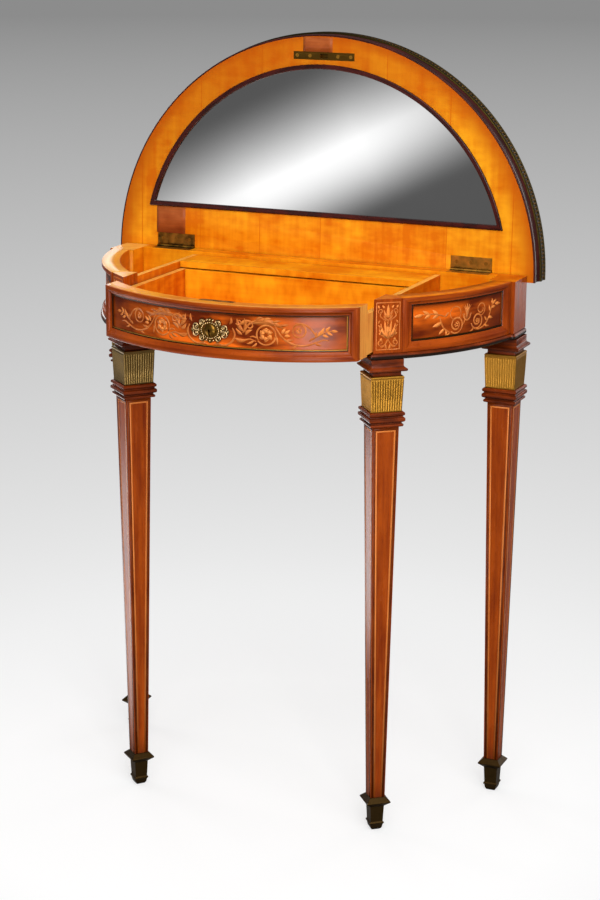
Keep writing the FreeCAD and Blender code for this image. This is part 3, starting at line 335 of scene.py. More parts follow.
def darkened_below(height, dark_colour, soft, most):
    """A darker colour below a height, with a soft edge, both in mm, or above it where soft is negative; most is how
    much of it covers the wood. Some uses paint shade: the frames' shadow on the panels and the lower edge of the
    moulding under the case."""
    def lay(add, grain, field):
        up = add("SeparateXYZ", {0: add("TexCoord", out="Object")}, 2)
        share = add("MapRange", {"Value": up, "From Min": (height + soft) * MM, "From Max": (height - soft) * MM,
                                 "To Max": most})
        return add("Mix", {0: share, 6: field, 7: dark_colour}, 2, data_type="RGBA")
    return lay


# What woods of one kind share: sizes of the figure in mm, and polish.
CURL = dict(streak=(60, 9), mottle=(75, 30), broad=(95, 60), figure=0.65, contrast=0.075, rough=0.2, gloss=0.2,
            pore_shade=0.25)
MOULDING = dict(streak=(60, 4), mottle=(40, 14), rough=0.24, gloss=0.22, pore_shade=0.3, recess=0.85)
SATIN = dict(streak=(200, 10), mottle=(10, 26), pore=(14, 1.2), rough=0.34, gloss=0.14, pore_shade=0.05)
SATIN_LEAVES = dict(SATIN, broad=(75, 55), contrast=0.13, leaves=True, recess=0.45)
# Shares that make the darker copy of the satinwood, as painted shade.
SHADE_SHARES = (0.72, 0.48, 0.5)
STRIP = dict(streak=(90, 6), mottle=(60, 9), rough=0.28, pore_shade=0.1)
INLAY = dict(streak=(14, 5), mottle=(11, 9), pore=(6, 0.9), rough=0.24, gloss=0.1, pore_shade=0.15, recess=0.2)

# The settings of each wood, from the table's colours.
WOODS = {
    # Red-brown wood with dark streaks and short open pores, under a thin clear gloss that mirrors the lights softly.
    # Real pores are 0.2 mm wide; they are drawn 0.9 mm wide to show.
    "mahogany_french_polished": lambda c: dict(
        deep=c.mahogany_deep, pale=c.mahogany, streak=(140, 5), mottle=(80, 22), rough=0.26, gloss=0.15,
        pore_shade=0.35, contrast=0.24, shades=[darkened_below(SHAFT_FOOT + 14, c.moulding_deep, 12, 0.6)]),
    # The same wood as the legs in one broad sheet, with a band across the grain and a light line round the edge.
    "mahogany_lid_top_french_polished": lambda c: dict(
        deep=c.mahogany_deep, pale=c.mahogany, streak=(220, 7), mottle=(160, 36), rough=0.26, gloss=0.15,
        pore_shade=0.35, shades=[crossbanding(284, 1.6, c.inlay, c.mahogany, 1.2)]),
    # Veneer from a fork of the tree: broad flames of light and dark under a gloss, bright in the middle of the drawer,
    # with painted shade under the frame's upper rail.
    "mahogany_curl_drawer_polished": lambda c: dict(
        CURL, deep=shaded(c.mahogany_deep, 0.8), pale=shaded(c.mahogany, 2.1),
        shades=[darker_ends(45, 150, shaded(c.mahogany_deep, 0.6), 0.65),
                darkened_below(DRAWER_TOP - FRAME_TOP - 5, shaded(c.mahogany_deep, 0.6), -4.0, 0.85)]),
    # The friezes' veneer is darker in its lower half and towards the back, with painted shade under the frame's upper
    # rail.
    "mahogany_curl_frieze_polished": lambda c: dict(
        CURL, deep=shaded(c.mahogany_deep, 0.8), pale=shaded(c.mahogany, 1.7),
        shades=[darker_ends(325, 425, shaded(c.mahogany_deep, 0.6), 0.8),
                darkened_below(0.5 * (CASE_BOTTOM + CASE_TOP) - 1, shaded(c.mahogany_deep, 0.6), 5.0, 0.6),
                darkened_below(CASE_TOP - FRAME_TOP - 7, shaded(c.mahogany_deep, 0.6), -4.5, 0.85)]),
    # Darker stained mouldings: the staining hides most of the figure, and painted shade darkens the hollows most,
    # standing partly for old polish held there.
    "mahogany_stained_moulding": lambda c: dict(MOULDING, deep=c.moulding_deep, pale=c.moulding),
    # The moulding under the case: brown above, painted black on its lower edge as shade, so that it reads as a thin
    # dark line.
    "mahogany_moulding_shaded_below": lambda c: dict(
        MOULDING, deep=c.moulding_deep, pale=c.moulding,
        shades=[darkened_below(CASE_BOTTOM - 3.4, c.ebonised_and_shade, 0.6, 1.0)]),
    # Narrow frame stained deep red: almost no figure left, a dull red glow where the light catches its round face.
    "mahogany_oxblood_polished": lambda c: dict(
        deep=c.oxblood_deep, pale=c.oxblood, streak=(60, 3), mottle=(40, 10), rough=0.26, gloss=0.34, pore_shade=0.2,
        recess=0.5),
    # Darker veneer laid across the grain between the stringing and the arrises of the legs.
    "mahogany_border_polished": lambda c: dict(
        deep=shaded(c.mahogany_deep, 0.5), pale=shaded(c.mahogany, 0.5), streak=(60, 3), mottle=(40, 9), rough=0.26,
        gloss=0.15, pore_shade=0.3, recess=0.3),
    # Dense wood stained black and polished: nearly black, with sharp highlights on its round edges.
    "pearwood_ebonised": lambda c: dict(
        deep=shaded(c.ebonised_and_shade, 0.6), pale=c.ebonised_and_shade, streak=(40, 3), mottle=(30, 12), rough=0.24, gloss=0.3,
        pore_shade=0.3),
    # Golden wood in leaves of veneer side by side, with a soft cloudy figure and a satin shine.
    "satinwood_polished": lambda c: dict(SATIN_LEAVES, deep=c.satinwood_deep, pale=c.satinwood),
    # The same veneer on the lid, redder towards the round edge, with painted shade towards its front and left.
    "satinwood_lid_polished": lambda c: dict(
        SATIN_LEAVES, deep=c.satinwood_deep, pale=c.satinwood, shades=[rim_shade(284, c.satinwood_deep)]),
    # A darker, redder copy of the same wood on the dividers and the drawer's sides: painted shade on faces that get
    # less light.
    "satinwood_shaded_polished": lambda c: dict(
        SATIN, deep=shaded(c.satinwood_deep, *SHADE_SHARES), pale=shaded(c.satinwood, *SHADE_SHARES), recess=0.45),
    # The same wood painted cream-gold on upper edges, as the sheen of the light on them.
    "satinwood_painted_sheen": lambda c: dict(SATIN, deep=c.sheen_satinwood_deep, pale=c.sheen_satinwood, recess=0.3),
    # Patches of the same veneer that were let in later and have turned brown.
    "satinwood_darkened": lambda c: dict(
        deep=c.patch_deep, pale=c.patch, streak=(60, 4), mottle=(20, 14), pore=(12, 1.0), rough=0.36, gloss=0.16,
        pore_shade=0.2, recess=0.0),
    # Bare planed wood of the drawer: pale, dry and matt, with plain streaks.
    "oak_planed": lambda c: dict(
        deep=c.bare_wood_deep, pale=c.bare_wood, streak=(120, 4), mottle=(80, 18), pore=(10, 0.9), rough=0.62,
        gloss=0.2, pore_shade=0.3),
    # Thin strips of pale wood, nearly one colour, gone orange under the old polish.
    "boxwood_stringing": lambda c: dict(
        STRIP, deep=c.stringing_deep, pale=c.stringing, gloss=0.16, recess=0.2,
        shades=[darkened_below(SHAFT_FOOT + 32, c.mahogany, 30, 0.8)]),
    # A narrow pale cream edging that shows as a thin light line; its paleness is partly painted highlight of the lit
    # edge.
    "boxwood_edging_and_highlight": lambda c: dict(
        STRIP, deep=c.bare_wood, pale=shaded(c.bare_wood, 1.0, 1.25, 1.9), gloss=0.3, recess=0.1),
    # Pale close-grained wood; sand shading and age leave it orange-brown in places.
    "boxwood_inlay_scorched": lambda c: dict(INLAY, deep=c.inlay_deep, pale=c.inlay),
    # The same wood where the sand did not darken it.
    "boxwood_inlay_pale": lambda c: dict(INLAY, deep=c.inlay, pale=shaded(c.inlay, 1.3)),
}

# The settings of each metal, from the table's colours.
METALS = {
    # Cast bronze whose gilding has worn: warm metal on the crests, brown dirt between them.
    "bronze_gilt_worn": lambda c: dict(
        high=shaded(c.gilt, 0.86), hollow=shaded(c.gilt_dirt, 3.2), rough=0.46, grit=14.0),
    # The same bronze where hardly any gilding is left, and darker as painted shade: grey-olive metal on the crests,
    # green-black dirt between them.
    "bronze_gilt_lost_and_shaded": lambda c: dict(
        high=shaded(c.gilt, 0.38, 0.5, 1.15), hollow=shaded(c.gilt_dirt, 0.4), rough=0.36, grit=14.0),
    # Raised work of the escutcheon, rubbed bright by hands: pale silvery gold on the crests, dark between them.
    "bronze_gilt_rubbed": lambda c: dict(
        high=shaded(c.gilt, 1.3, 1.8, 6.0), hollow=c.gilt_dirt, rough=0.24, grit=14.0, hollow_depth=2.0),
    # Cast bronze with a dark brown patina, rubbed lighter on the edges.
    "bronze_patinated": lambda c: dict(high=c.patina, hollow=c.patina_dirt, rough=0.42, grit=9.0, hollow_depth=5.0),
    # Chased plate behind the ornament: brown-black ground, so that only the raised work catches the light; it also
    # paints the shade on the shaded stretches of the panels' brass lines.
    "bronze_chased_dark": lambda c: dict(
        high=shaded(c.gilt, 0.34, 0.16, 0.2), hollow=shaded(c.gilt_dirt, 0.4), rough=0.5, grit=9.0),
    # Channel of the lid's band: nearly black, with a dull olive gleam along its lips.
    "bronze_blackened": lambda c: dict(
        high=shaded(c.patina, 0.6, 0.75, 0.6), hollow=c.patina_dirt, rough=0.46, grit=9.0),
    # Beads of the lid's band: dull olive-brown, a faint yellow dot of light on each.
    "bronze_beads_dull": lambda c: dict(
        high=shaded(c.gilt, 0.24), hollow=shaded(c.gilt_dirt, 0.4), rough=0.36, grit=9.0, hollow_depth=2.0),
    # Brass plate gone brown-black, still smooth enough to shine along its edges.
    "brass_browned": lambda c: dict(high=shaded(c.brass, 0.42), hollow=c.brass_dirt, rough=0.34, grit=7.0),
    # Rolled brass gone dark, with lighter rubbed patches.
    "brass_tarnished": lambda c: dict(
        high=shaded(c.brass, 2.0), hollow=c.brass_dirt, rough=0.38, grit=11.0, spread=(1.25, 1.85)),
    # The same brass with more of its faces in the lighter colour.
    "brass_rubbed": lambda c: dict(
        high=shaded(c.brass, 2.0), hollow=c.brass_dirt, rough=0.38, grit=11.0, spread=(1.05, 1.7)),
}


def finish(name):
    """The material of that name, made when it is first asked for."""
    colours = bpy.context.scene.table_colours
    if name in bpy.data.materials:
        return bpy.data.materials[name]
    if name == "glass_silvered":
        return silvered_glass(name, colours.silver)
    if name in METALS:
        return metal(name, **METALS[name](colours))
    return wood(name, **WOODS[name](colours))


# ---------------------------------------------------------------- grain places

def straight_grain(direction):
    """Grain along a direction, laid on each flat face by itself."""
    direction = Vector(direction).normalized()

    def lay(point, normal):
        across = normal.cross(direction)
        if across.length < 0.35:
            first = direction.orthogonal().normalized()
            return point.dot(first), point.dot(direction.cross(first))
        return point.dot(direction), point.dot(across.normalized())
    return lay


def round_grain(place, radius):
    """Grain round the upright axis of a place, which is a matrix in mm; it carries on over a moulding's edges."""
    inverse = place.inverted()

    def lay(point, normal):
        local = inverse @ (point / MM)
        reach = math.hypot(local.x, local.y)
        return radius * MM * math.atan2(local.x, -local.y), (reach + local.z) * MM
    return lay


def hoop_grain(point, normal):
    """Grain level along each upright face, as on mouldings that run round a square."""
    across = normal.cross(Vector((0, 0, 1)))
    if across.length < 0.2:
        return point.x, point.y
    return point.dot(across.normalized()), point.z


def upright_outside(point, normal):
    """Grain along the drawer's sides, upright on their broad faces, where their ends were sawn."""
    return ALONG_Z(point, normal) if abs(normal.x) > 0.9 else ALONG_Y(point, normal)


def lid_grain(point, normal):
    """Grain from the hinge to the front of the lid, and along its back edge."""
    local = LID_PLACE.inverted() @ (point / MM)
    if (LID_TURN.inverted() @ normal).y > 0.9:
        return local.x * MM, local.z * MM
    return -local.y * MM, local.x * MM


CASE_ARC = Matrix.Translation((0, ARC_Y, 0))
DRAWER_ARC = Matrix.Translation((0, ARC_Y - DRAWER_OUT, 0))
ALONG_X, ALONG_Y, ALONG_Z = (straight_grain(axis) for axis in ((1, 0, 0), (0, 1, 0), (0, 0, 1)))
ROUND_CASE, ROUND_DRAWER = round_grain(CASE_ARC, FRIEZE_RADIUS), round_grain(DRAWER_ARC, FRIEZE_RADIUS)
ROUND_LID = round_grain(LID_PLACE, LID_RADIUS)


# ---------------------------------------------------------------- making pieces

def place_piece(piece, body, slot, stands_for=()):
    """Puts a piece on its body and hides the CAD nodes that it stands for. Its slot of the record is not used."""
    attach(piece, body)
    if stands_for:
        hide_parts(*stands_for)
    return piece


def body_of_node(node):
    """The name of the body that a CAD node rides on."""
    return frame["nodes"][node]["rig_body"]


def slot_of_node(node):
    """The record's material slot of a CAD node."""
    return [s["material_slot"] for s in frame["record"]["subparts"] if s["node"] == node][0]


def facing(axis):
    """A test for faces that look along an axis."""
    return lambda face: face.normal.dot(Vector(axis)) > 0.9


UP, DOWN, BACK = facing((0, 0, 1)), facing((0, 0, -1)), facing((0, 1, 0))


def eased_copy(node, material, grain, ease, steps=2, others=(), clamp=True):
    """A copy of a CAD solid with its edges rounded, which stands for it. others are (material, test of a face)."""
    mesh = frame["nodes"][node].data.copy()
    shape = bmesh.new()
    shape.from_mesh(mesh)
    bmesh.ops.remove_doubles(shape, verts=shape.verts, dist=1e-6)
    bmesh.ops.dissolve_limit(shape, angle_limit=math.radians(0.4), verts=shape.verts, edges=shape.edges)
    shape.to_mesh(mesh)
    shape.free()
    mesh.materials.clear()
    for name in (material, *(other for other, _ in others)):
        mesh.materials.append(finish(name))
    for layer in list(mesh.uv_layers):
        mesh.uv_layers.remove(layer)
    layer = mesh.uv_layers.new(name="grain")
    for face in mesh.polygons:
        face.use_smooth = True
        for number, (_, test) in enumerate(others):
            if test(face):
                face.material_index = number + 1
        for corner in face.loop_indices:
            layer.data[corner].uv = grain(mesh.vertices[mesh.loops[corner].vertex_index].co, face.normal)
    mesh.set_sharp_from_angle(angle=EASE_LIMIT)
    piece = bpy.data.objects.new(f"{node}_dressed", mesh)
    bpy.context.scene.collection.objects.link(piece)
    if ease:
        rounding = piece.modifiers.new("eased edges", "BEVEL")
        rounding.width, rounding.segments = ease * MM, steps
        rounding.limit_method, rounding.angle_limit = "ANGLE", EASE_LIMIT
        rounding.harden_normals, rounding.use_clamp_overlap = True, clamp
        rounding.miter_outer = "MITER_ARC"
    return place_piece(piece, body_of_node(node), slot_of_node(node), (node,))


def turns(count):
    """Angles all round a circle."""
    return [2 * math.pi * k / count for k in range(count)]


class Shape:
    """Points in mm, faces and grain places of a mesh under construction."""

    def __init__(self):
        self.points, self.faces, self.grain = [], [], []

    def row(self, points, grain=None):
        """Adds points and returns their numbers."""
        first = len(self.points)
        self.points.extend(Vector(p) for p in points)
        self.grain.extend(grain or [(p[0], p[2]) for p in points])
        return list(range(first, len(self.points)))

    def skin(self, rows, closed_rows=False, closed=False):
        """Faces between rows of point numbers. closed_rows joins each row's ends, closed the last row and the first."""
        pairs = list(zip(rows, rows[1:])) + ([(rows[-1], rows[0])] if closed else [])
        for one, two in pairs:
            count = len(one)
            for i in range(count if closed_rows else count - 1):
                j = (i + 1) % count
                self.faces.append((one[i], one[j], two[j], two[i]))

    def rod(self, rows):
        """A skin round rows of point numbers, closed at both ends."""
        self.skin(rows, closed_rows=True)
        self.faces += [tuple(reversed(rows[0])), tuple(rows[-1])]

    def ball(self, centre, axis, radius, height, around=8, rings=3):
        """A round bead that stands on a face, with its axis away from it."""
        axis = Vector(axis).normalized()
        side = axis.orthogonal().normalized()
        other = axis.cross(side)
        rows = []
        for k in range(rings):
            tilt = 0.5 * math.pi * k / rings
            reach, rise = radius * math.cos(tilt), height * math.sin(tilt)
            rows.append(self.row([Vector(centre) + axis * rise + (side * math.cos(a) + other * math.sin(a)) * reach
                                  for a in turns(around)]))
        self.skin(rows, closed_rows=True)
        self.faces.append(tuple(reversed(rows[0])))
        top = self.row([Vector(centre) + axis * height])[0]
        for i in range(around):
            self.faces.append((rows[-1][i], rows[-1][(i + 1) % around], top))

    def tube(self, path, thick, thin, around=8):
        """A round rod along a path, from one radius to the other."""
        rows = []
        for k, point in enumerate(path):
            ahead = (path[min(k + 1, len(path) - 1)] - path[max(k - 1, 0)]).normalized()
            side = ahead.cross(Vector((0, 1, 0))).normalized()
            other = ahead.cross(side)
            radius = thick - (thick - thin) * k / (len(path) - 1)
            rows.append(self.row([point + (side * math.cos(a) + other * math.sin(a)) * radius for a in turns(around)]))
        self.rod(rows)

    def make(self, name, material, body, slot, stands_for=(), outward=None, thick=0.0, weld=True, sharp=40):
        """Makes the piece. outward gives the side that faces away, for sheets, which then get a thickness."""
        mesh = bpy.data.meshes.new(name)
        mesh.from_pydata([p * MM for p in self.points], [], self.faces)
        layer = mesh.uv_layers.new(name="grain")
        for loop in mesh.loops:
            layer.data[loop.index].uv = [MM * part for part in self.grain[loop.vertex_index]]
        shape = bmesh.new()
        shape.from_mesh(mesh)
        if weld:
            bmesh.ops.remove_doubles(shape, verts=shape.verts, dist=1e-6)
        if outward:
            shape.normal_update()
            for face in shape.faces:
                if face.normal.dot(outward(face.calc_center_median() / MM)) < 0:
                    face.normal_flip()
        else:
            bmesh.ops.recalc_face_normals(shape, faces=shape.faces)
        shape.to_mesh(mesh)
        shape.free()
        for face in mesh.polygons:
            face.use_smooth = True
        mesh.set_sharp_from_angle(angle=math.radians(sharp))
        mesh.materials.append(finish(material))
        piece = bpy.data.objects.new(name, mesh)
        bpy.context.scene.collection.objects.link(piece)
        if thick:
            sheet = piece.modifiers.new("thickness", "SOLIDIFY")
            sheet.thickness, sheet.offset = thick * MM, -1.0
        return place_piece(piece, body, slot, stands_for)

    def make_sheet(self, name, material, body, outward, slot="satinwood"):
        """Makes a thin sheet of inlay, let into its ground."""
        return self.make(name, material, body, slot, outward=outward, thick=SHEET_SHARE * size("inlay_lift"))


class CurvedFront:
    """A curved front between two upright ends. A place on it is (mm along its panel, height, radius)."""

    def __init__(self, first, last, forward, side=1):
        self.first, self.last, self.forward, self.side = first, last, forward, side
        self.length = PANEL_RADIUS * (last(PANEL_RADIUS) - first(PANEL_RADIUS))

    def point(self, along, height, radius):
        start, end = self.first(radius), self.last(radius)
        angle = start + (end - start) * along / self.length
        return Vector((self.side * radius * math.sin(angle), ARC_Y - self.forward - radius * math.cos(angle), height))

    def outward(self, point):
        return Vector((point.x, point.y - (ARC_Y - self.forward), 0))


DRAWER_FACE = CurvedFront(lambda r: -math.asin(DRAWER_HALF / r), lambda r: math.asin(DRAWER_HALF / r), DRAWER_OUT)
FRIEZE_FACES = {
    word: CurvedFront(lambda r: FRONT_TURN + math.asin(BLOCK_HALF / r), lambda r: math.acos(STILE_DEPTH / r), 0, side)
    for word, side in SIDES
}


def leg_place(corner):
    """Middle of a leg on the floor, turned as the leg stands."""
    side = 1 if corner.endswith("right") else -1
    low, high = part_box(f"leg_{corner}")
    middle = (low + high) / 2 / MM
    turn = side * FRONT_TURN if corner.startswith("front") else 0.0
    return Matrix.Translation((middle.x, middle.y, 0)) @ Matrix.Rotation(turn, 4, "Z")


# ---------------------------------------------------------------- marquetry

def smooth_path(points, steps=7):
    """Points along a smooth line through the given ones."""
    points = [Vector(p) for p in points]
    ends = [2 * points[0] - points[1], *points, 2 * points[-1] - points[-2]]
    path = []
    for a, b, c, d in zip(ends, ends[1:], ends[2:], ends[3:]):
        for k in range(steps):
            t = k / steps
            path.append(0.5 * (2 * b + (c - a) * t + (2 * a - 5 * b + 4 * c - d) * t * t
                               + (3 * b - a - 3 * c + d) * t ** 3))
    return [*path, points[-1]]


def spiral(centre, outer, inner, start, rounds, steps=26):
    """Points of a scroll from its outer end to its eye. start is in degrees, rounds may be negative."""
    count = max(6, int(abs(rounds) * steps))
    path = []
    for k in range(count + 1):
        reach, angle = outer + (inner - outer) * k / count, math.radians(start + 360 * rounds * k / count)
        path.append(Vector((centre[0] + reach * math.cos(angle), centre[1] + reach * math.sin(angle))))
    return path


def lay_strip(shape, place, steps, width):
    """A strip of inlay. steps are (middle, direction across, half of the width, mm along) from end to end."""
    # Each strip is cut from another part of the wood.
    start = 3.1 * len(shape.points)
    shape.skin([shape.row([place(*(middle + across * (side * half))) for middle, across, half, _ in steps],
                          [(start + run, edge) for *_, run in steps]) for side, edge in ((1, 0), (-1, width))])


def lay_ribbon(shape, place, path, width, taper=0.45):
    """A stem of inlay along a path, thinner towards both ends."""
    steps, run = [], 0.0
    for k, point in enumerate(path):
        ahead = (path[min(k + 1, len(path) - 1)] - path[max(k - 1, 0)]).normalized()
        share = k / (len(path) - 1)
        half = 0.5 * width * (taper + (1 - taper) * math.sin(math.pi * share) ** 0.5)
        run += (point - path[k - 1]).length if k else 0.0
        steps.append((point, Vector((-ahead.y, ahead.x)), half, run))
    lay_strip(shape, place, steps, width)


def lay_leaf(shape, place, root, tip, width, bend=0.0, count=8):
    """A leaf, petal or bud of inlay from its root to its tip, bent to the left by the given mm."""
    root, tip = Vector(root), Vector(tip)
    ahead = tip - root
    across = Vector((-ahead.y, ahead.x)).normalized()
    steps = []
    for t in (k / count for k in range(count + 1)):
        half = 0.5 * width * (0.06 + 0.94 * math.sin(math.pi * t ** 0.8) ** 0.9)
        steps.append((root + ahead * t + across * bend * 4 * t * (1 - t), across, half, ahead.length * t))
    lay_strip(shape, place, steps, width)


def lay_pattern(name, pattern, place, outward, body, mirror):
    """Lays the stems, leaves and buds of a pattern; buds are of the pale wood. mirror lists the sides it is laid on."""
    lift = size("inlay_lift")
    dark, pale = Shape(), Shape()
    for side in mirror:
        def put(a, z):
            return place(side * a, z, lift)
        for path, width in pattern["stems"]:
            lay_ribbon(dark, put, smooth_path(path), STEM_SHARE * width)
        for *scroll, width in pattern["scrolls"]:
            lay_ribbon(dark, put, spiral(*scroll), STEM_SHARE * width, 0.6)
        for part, shape in (("leaves", dark), ("buds", pale)):
            for leaf in pattern[part]:
                lay_leaf(shape, put, *leaf)
        for centre, petals, reach, width in pattern["rosettes"]:
            for turn in turns(petals):
                aim = Vector((math.cos(turn + 0.4), math.sin(turn + 0.4)))
                lay_leaf(pale, put, Vector(centre) + aim * 0.25 * reach, Vector(centre) + aim * reach, width,
                         0.12 * reach)
    for part, shape, material in (("scrolls", dark, "boxwood_inlay_scorched"), ("buds", pale, "boxwood_inlay_pale")):
        shape.make_sheet(f"{name}_{part}", material, body, outward)


def lay_edge_strip(name, face, top, radii, material, body):
    """A strip of veneer along the upper edge of a curved front, between two radii in mm."""
    shape, lift = Shape(), size("inlay_lift")
    places = [face.length * k / ARC_STEPS for k in range(ARC_STEPS + 1)]
    shape.skin([shape.row([face.point(a, top + lift, radius) for a in places], [(a, radius) for a in places])
                for radius in radii])
    shape.make_sheet(name, material, body, lambda p: Vector((0, 0, 1)))


# How much wider than in the tables the stems and scrolls are laid, so that they show.
STEM_SHARE = 1.3
# Patterns as (mm along, mm above the middle of the panel). The drawer's is its right half; the left half mirrors it.
# Stems are (points, width), scrolls (middle, outer and inner radius, start in degrees, rounds, width), leaves and buds
# (root, tip, width, bend), and rosettes (middle, petals, reach, width of a petal).
DRAWER_PATTERN = {
    "stems": [
        ([(31, 4), (34, -4), (31, -13), (22, -19.5), (12, -19), (8, -14)], 2.2),
        ([(86, 12), (90.5, 4), (95, -3), (101, -9), (108, -13), (117, -15.6), (128, -15.6), (139, -12.6), (150, -8.6),
          (157, -9.5)], 1.9),
        ([(134, -9), (141, -4.5), (148, -0.5), (156, 2.6), (164, 3)], 1.3),
        ([(45, -2), (49, 5), (56, 12.5), (66, 15.5), (78, 14.5), (87, 11)], 1.8),
        ([(33, -8), (40, -13), (48, -11), (55, -9.5), (63, -12.5)], 1.6),
        ([(111, 8), (116, 12.6), (123, 12.6), (130, 9.5), (136, 3.5), (140, -3), (137, -8)], 1.8),
        ([(64, -7.5), (59, -5.5), (54.5, -6.5)], 1.6),
    ],
    "scrolls": [
        ((75.8, -3), 13.2, 12.2, 215, 1.0, 1.9), ((75.8, -3), 8.2, 5.4, 20, 0.85, 1.3),
        ((119, 3.5), 8.6, 8.2, 200, 1.0, 1.7), ((119, 3.5), 4.6, 1.2, 60, 1.2, 1.4),
        ((54, 8.5), 5.2, 1.4, 120, -1.2, 1.5), ((39.5, 12), 4.2, 1.2, 200, 1.1, 1.4),
    ],
    "leaves": [
        ((55, 12), (99, 6), 9, 5.5), ((62, 16), (72, 20), 3.6, 1), ((72, 16), (83, 19), 3.6, 1),
        ((40, 8), (58, 14), 5.5, 2.5), ((84, 13.5), (96, 15.5), 3.4, 1), ((94, 8), (106, 11.5), 3.2, 1),
        ((64, -14), (57, -19), 3.2, 1), ((46, 0), (37, 17), 5.5, 2), ((47, -1), (47, 18), 4.5, -1.5),
        ((44, -4), (36, 4), 4.5, 1), ((48, -4), (58, 3), 4.5, 1.5), ((34, -9), (51, -10), 5.5, -2.5),
        ((60, -11), (50, -15.5), 3.2, 1), ((87.5, -2), (91, -15.5), 2.8, 1), ((90, 9), (104, 9.6), 3.2, 1),
        ((101, -9), (112, -7.5), 3.2, -1), ((117, -15), (108, -19), 2.8, 1), ((139, -12), (148, -15.5), 3.0, -1),
        ((140, -5.5), (141.5, 3), 3.2, 0.5), ((132, -10), (139, -6), 3.0, 0.6), ((16, -19.5), (4, -20.5), 3.0, -1),
        ((27, 8), (29, 18), 3.6, -1.5),
    ],
    "buds": [
        ((96.5, -0.5), (101, 6.8), 4.2, 0.3), ((100, -0.5), (107, 4.8), 4.0, -0.3),
        ((100, -3.5), (107.5, -3.6), 4.0, 0.3), ((147, -1), (151.5, 8), 3.8, 0.4), ((153, 2), (159, 9), 3.8, 0.4),
        ((160, 3), (169, 2.2), 3.8, 0.3), ((149, -1.5), (157, -4.5), 3.6, -0.3), ((155, 2), (162, -2.4), 3.4, -0.3),
        ((143, -4), (147, 4), 3.2, 0.3),
    ],
    "rosettes": [((75.8, -3), 6, 9.6, 6.0), ((119, 3.5), 5, 3.6, 2.2)],
}
# The friezes' pattern starts at the front block.
FRIEZE_PATTERN = {
    "stems": [
        ([(68, 3), (58, 6.5), (45, 9), (30, 9)], 1.4), ([(58, 3), (61, -6), (67, -14), (76, -19.5)], 1.8),
        ([(113, -11), (118, -18), (128, -20.6), (140, -17), (148, -9), (153, 1), (157, 10)], 2.0),
        ([(97.5, 4), (100, -2.5), (105, -5.5), (110, -2.5), (112.5, 4)], 1.8),
        ([(98.5, -10), (101, -3), (100, 4)], 1.5),
    ],
    "scrolls": [
        ((86, -9.4), 12.4, 4.0, 222, 1.6, 1.9), ((84, 6.2), 9.8, 8.6, 300, 0.9, 1.1),
        ((124.7, -8.2), 12.0, 3.4, 195, 1.55, 1.9), ((132, 6.8), 9.2, 4.0, 270, 1.3, 1.4),
    ],
    "leaves": [
        ((105, -4.5), (97.5, 15), 2.6, -2.4), ((105, -4.5), (113, 15.5), 2.6, 2.4), ((76, -19), (66, -22.5), 2.8, 1),
        ((67, 3), (73, 9), 3.0, 0.6), ((118, -18), (110, -21.5), 2.8, 1), ((140, -17), (150, -19), 3.0, -0.8),
        ((146, -12), (140, -5), 3.0, 0.6),
    ],
    "buds": [
        ((31, 9), (18, 7.5), 4.8, 0.3), ((41, 9), (31, 14.5), 4.2, 0.3), ((43, 8.5), (34, 3.5), 4.2, -0.3),
        ((55, 7.5), (46, 14.5), 4.2, 0.3), ((56, 7), (46, 2.5), 4.2, -0.3), ((61, -4), (46.5, -8.5), 5.2, 0.4),
        ((66, -12), (56.5, -19.5), 4.2, 0.3), ((69, -14), (68.5, -22.5), 3.8, 0.3), ((105, -4), (101.2, 16), 2.6, -0.8),
        ((105, -4), (105, 17.5), 2.8, 0), ((105, -4), (109, 16), 2.6, 0.8), ((148, -7), (157.5, -9.8), 4.0, 0.3),
        ((152.5, 0), (149, 9.5), 3.8, 0.3), ((154.5, 5), (164, 5.5), 3.8, 0.3), ((157, 9.5), (165.5, 14.5), 4.2, 0.3),
        ((156.5, 9.5), (156, 17.5), 3.8, 0.3), ((163, 9), (175, 8), 4.2, 0.3),
    ],
    "rosettes": [((86, -9.4), 5, 3.6, 2.2), ((124.7, -8.2), 5, 3.2, 2.0)],
}
# The blocks' pattern is its right half, from the middle of the face.
BLOCK_PATTERN = {
    "stems": [([(0, 9), (0, -1)], 1.6), ([(0, -17), (3, -23), (8, -28), (12, -25)], 1.4),
              ([(2, 7), (7, 10), (11, 14), (9, 19)], 1.3)],
    "scrolls": [((9.6, -22), 4.6, 1.2, 230, 1.2, 1.3), ((10.2, 20), 3.6, 1.0, 300, 1.1, 1.2)],
    "leaves": [((0.5, 11), (5.5, 22), 3.2, -1.2), ((0.5, 8), (6, 15), 2.8, -1), ((1, -16), (12.5, -2), 3.6, -2.2),
               ((3, -24), (1, -32), 3.0, 0.6), ((9, -4), (14, 2), 2.8, 0.6), ((11, 8), (14, 3), 2.4, 0.4)],
    "buds": [((0, 11), (0, 28.5), 4.6, 0), ((0.3, -17), (10, 4), 4.0, -2.4), ((0.2, -17), (4.6, 7.5), 3.8, -0.8),
             ((0, -17), (0, 6), 3.6, 0), ((8.5, -10.5), (12.8, -9.2), 4.0, 0), ((8.0, -17.8), (11.4, -16.8), 3.2, 0),
             ((12, 24), (14, 28), 2.6, 0), ((5, 24), (8, 28), 2.6, 0)],
    "rosettes": [],
}


# ---------------------------------------------------------------- operators

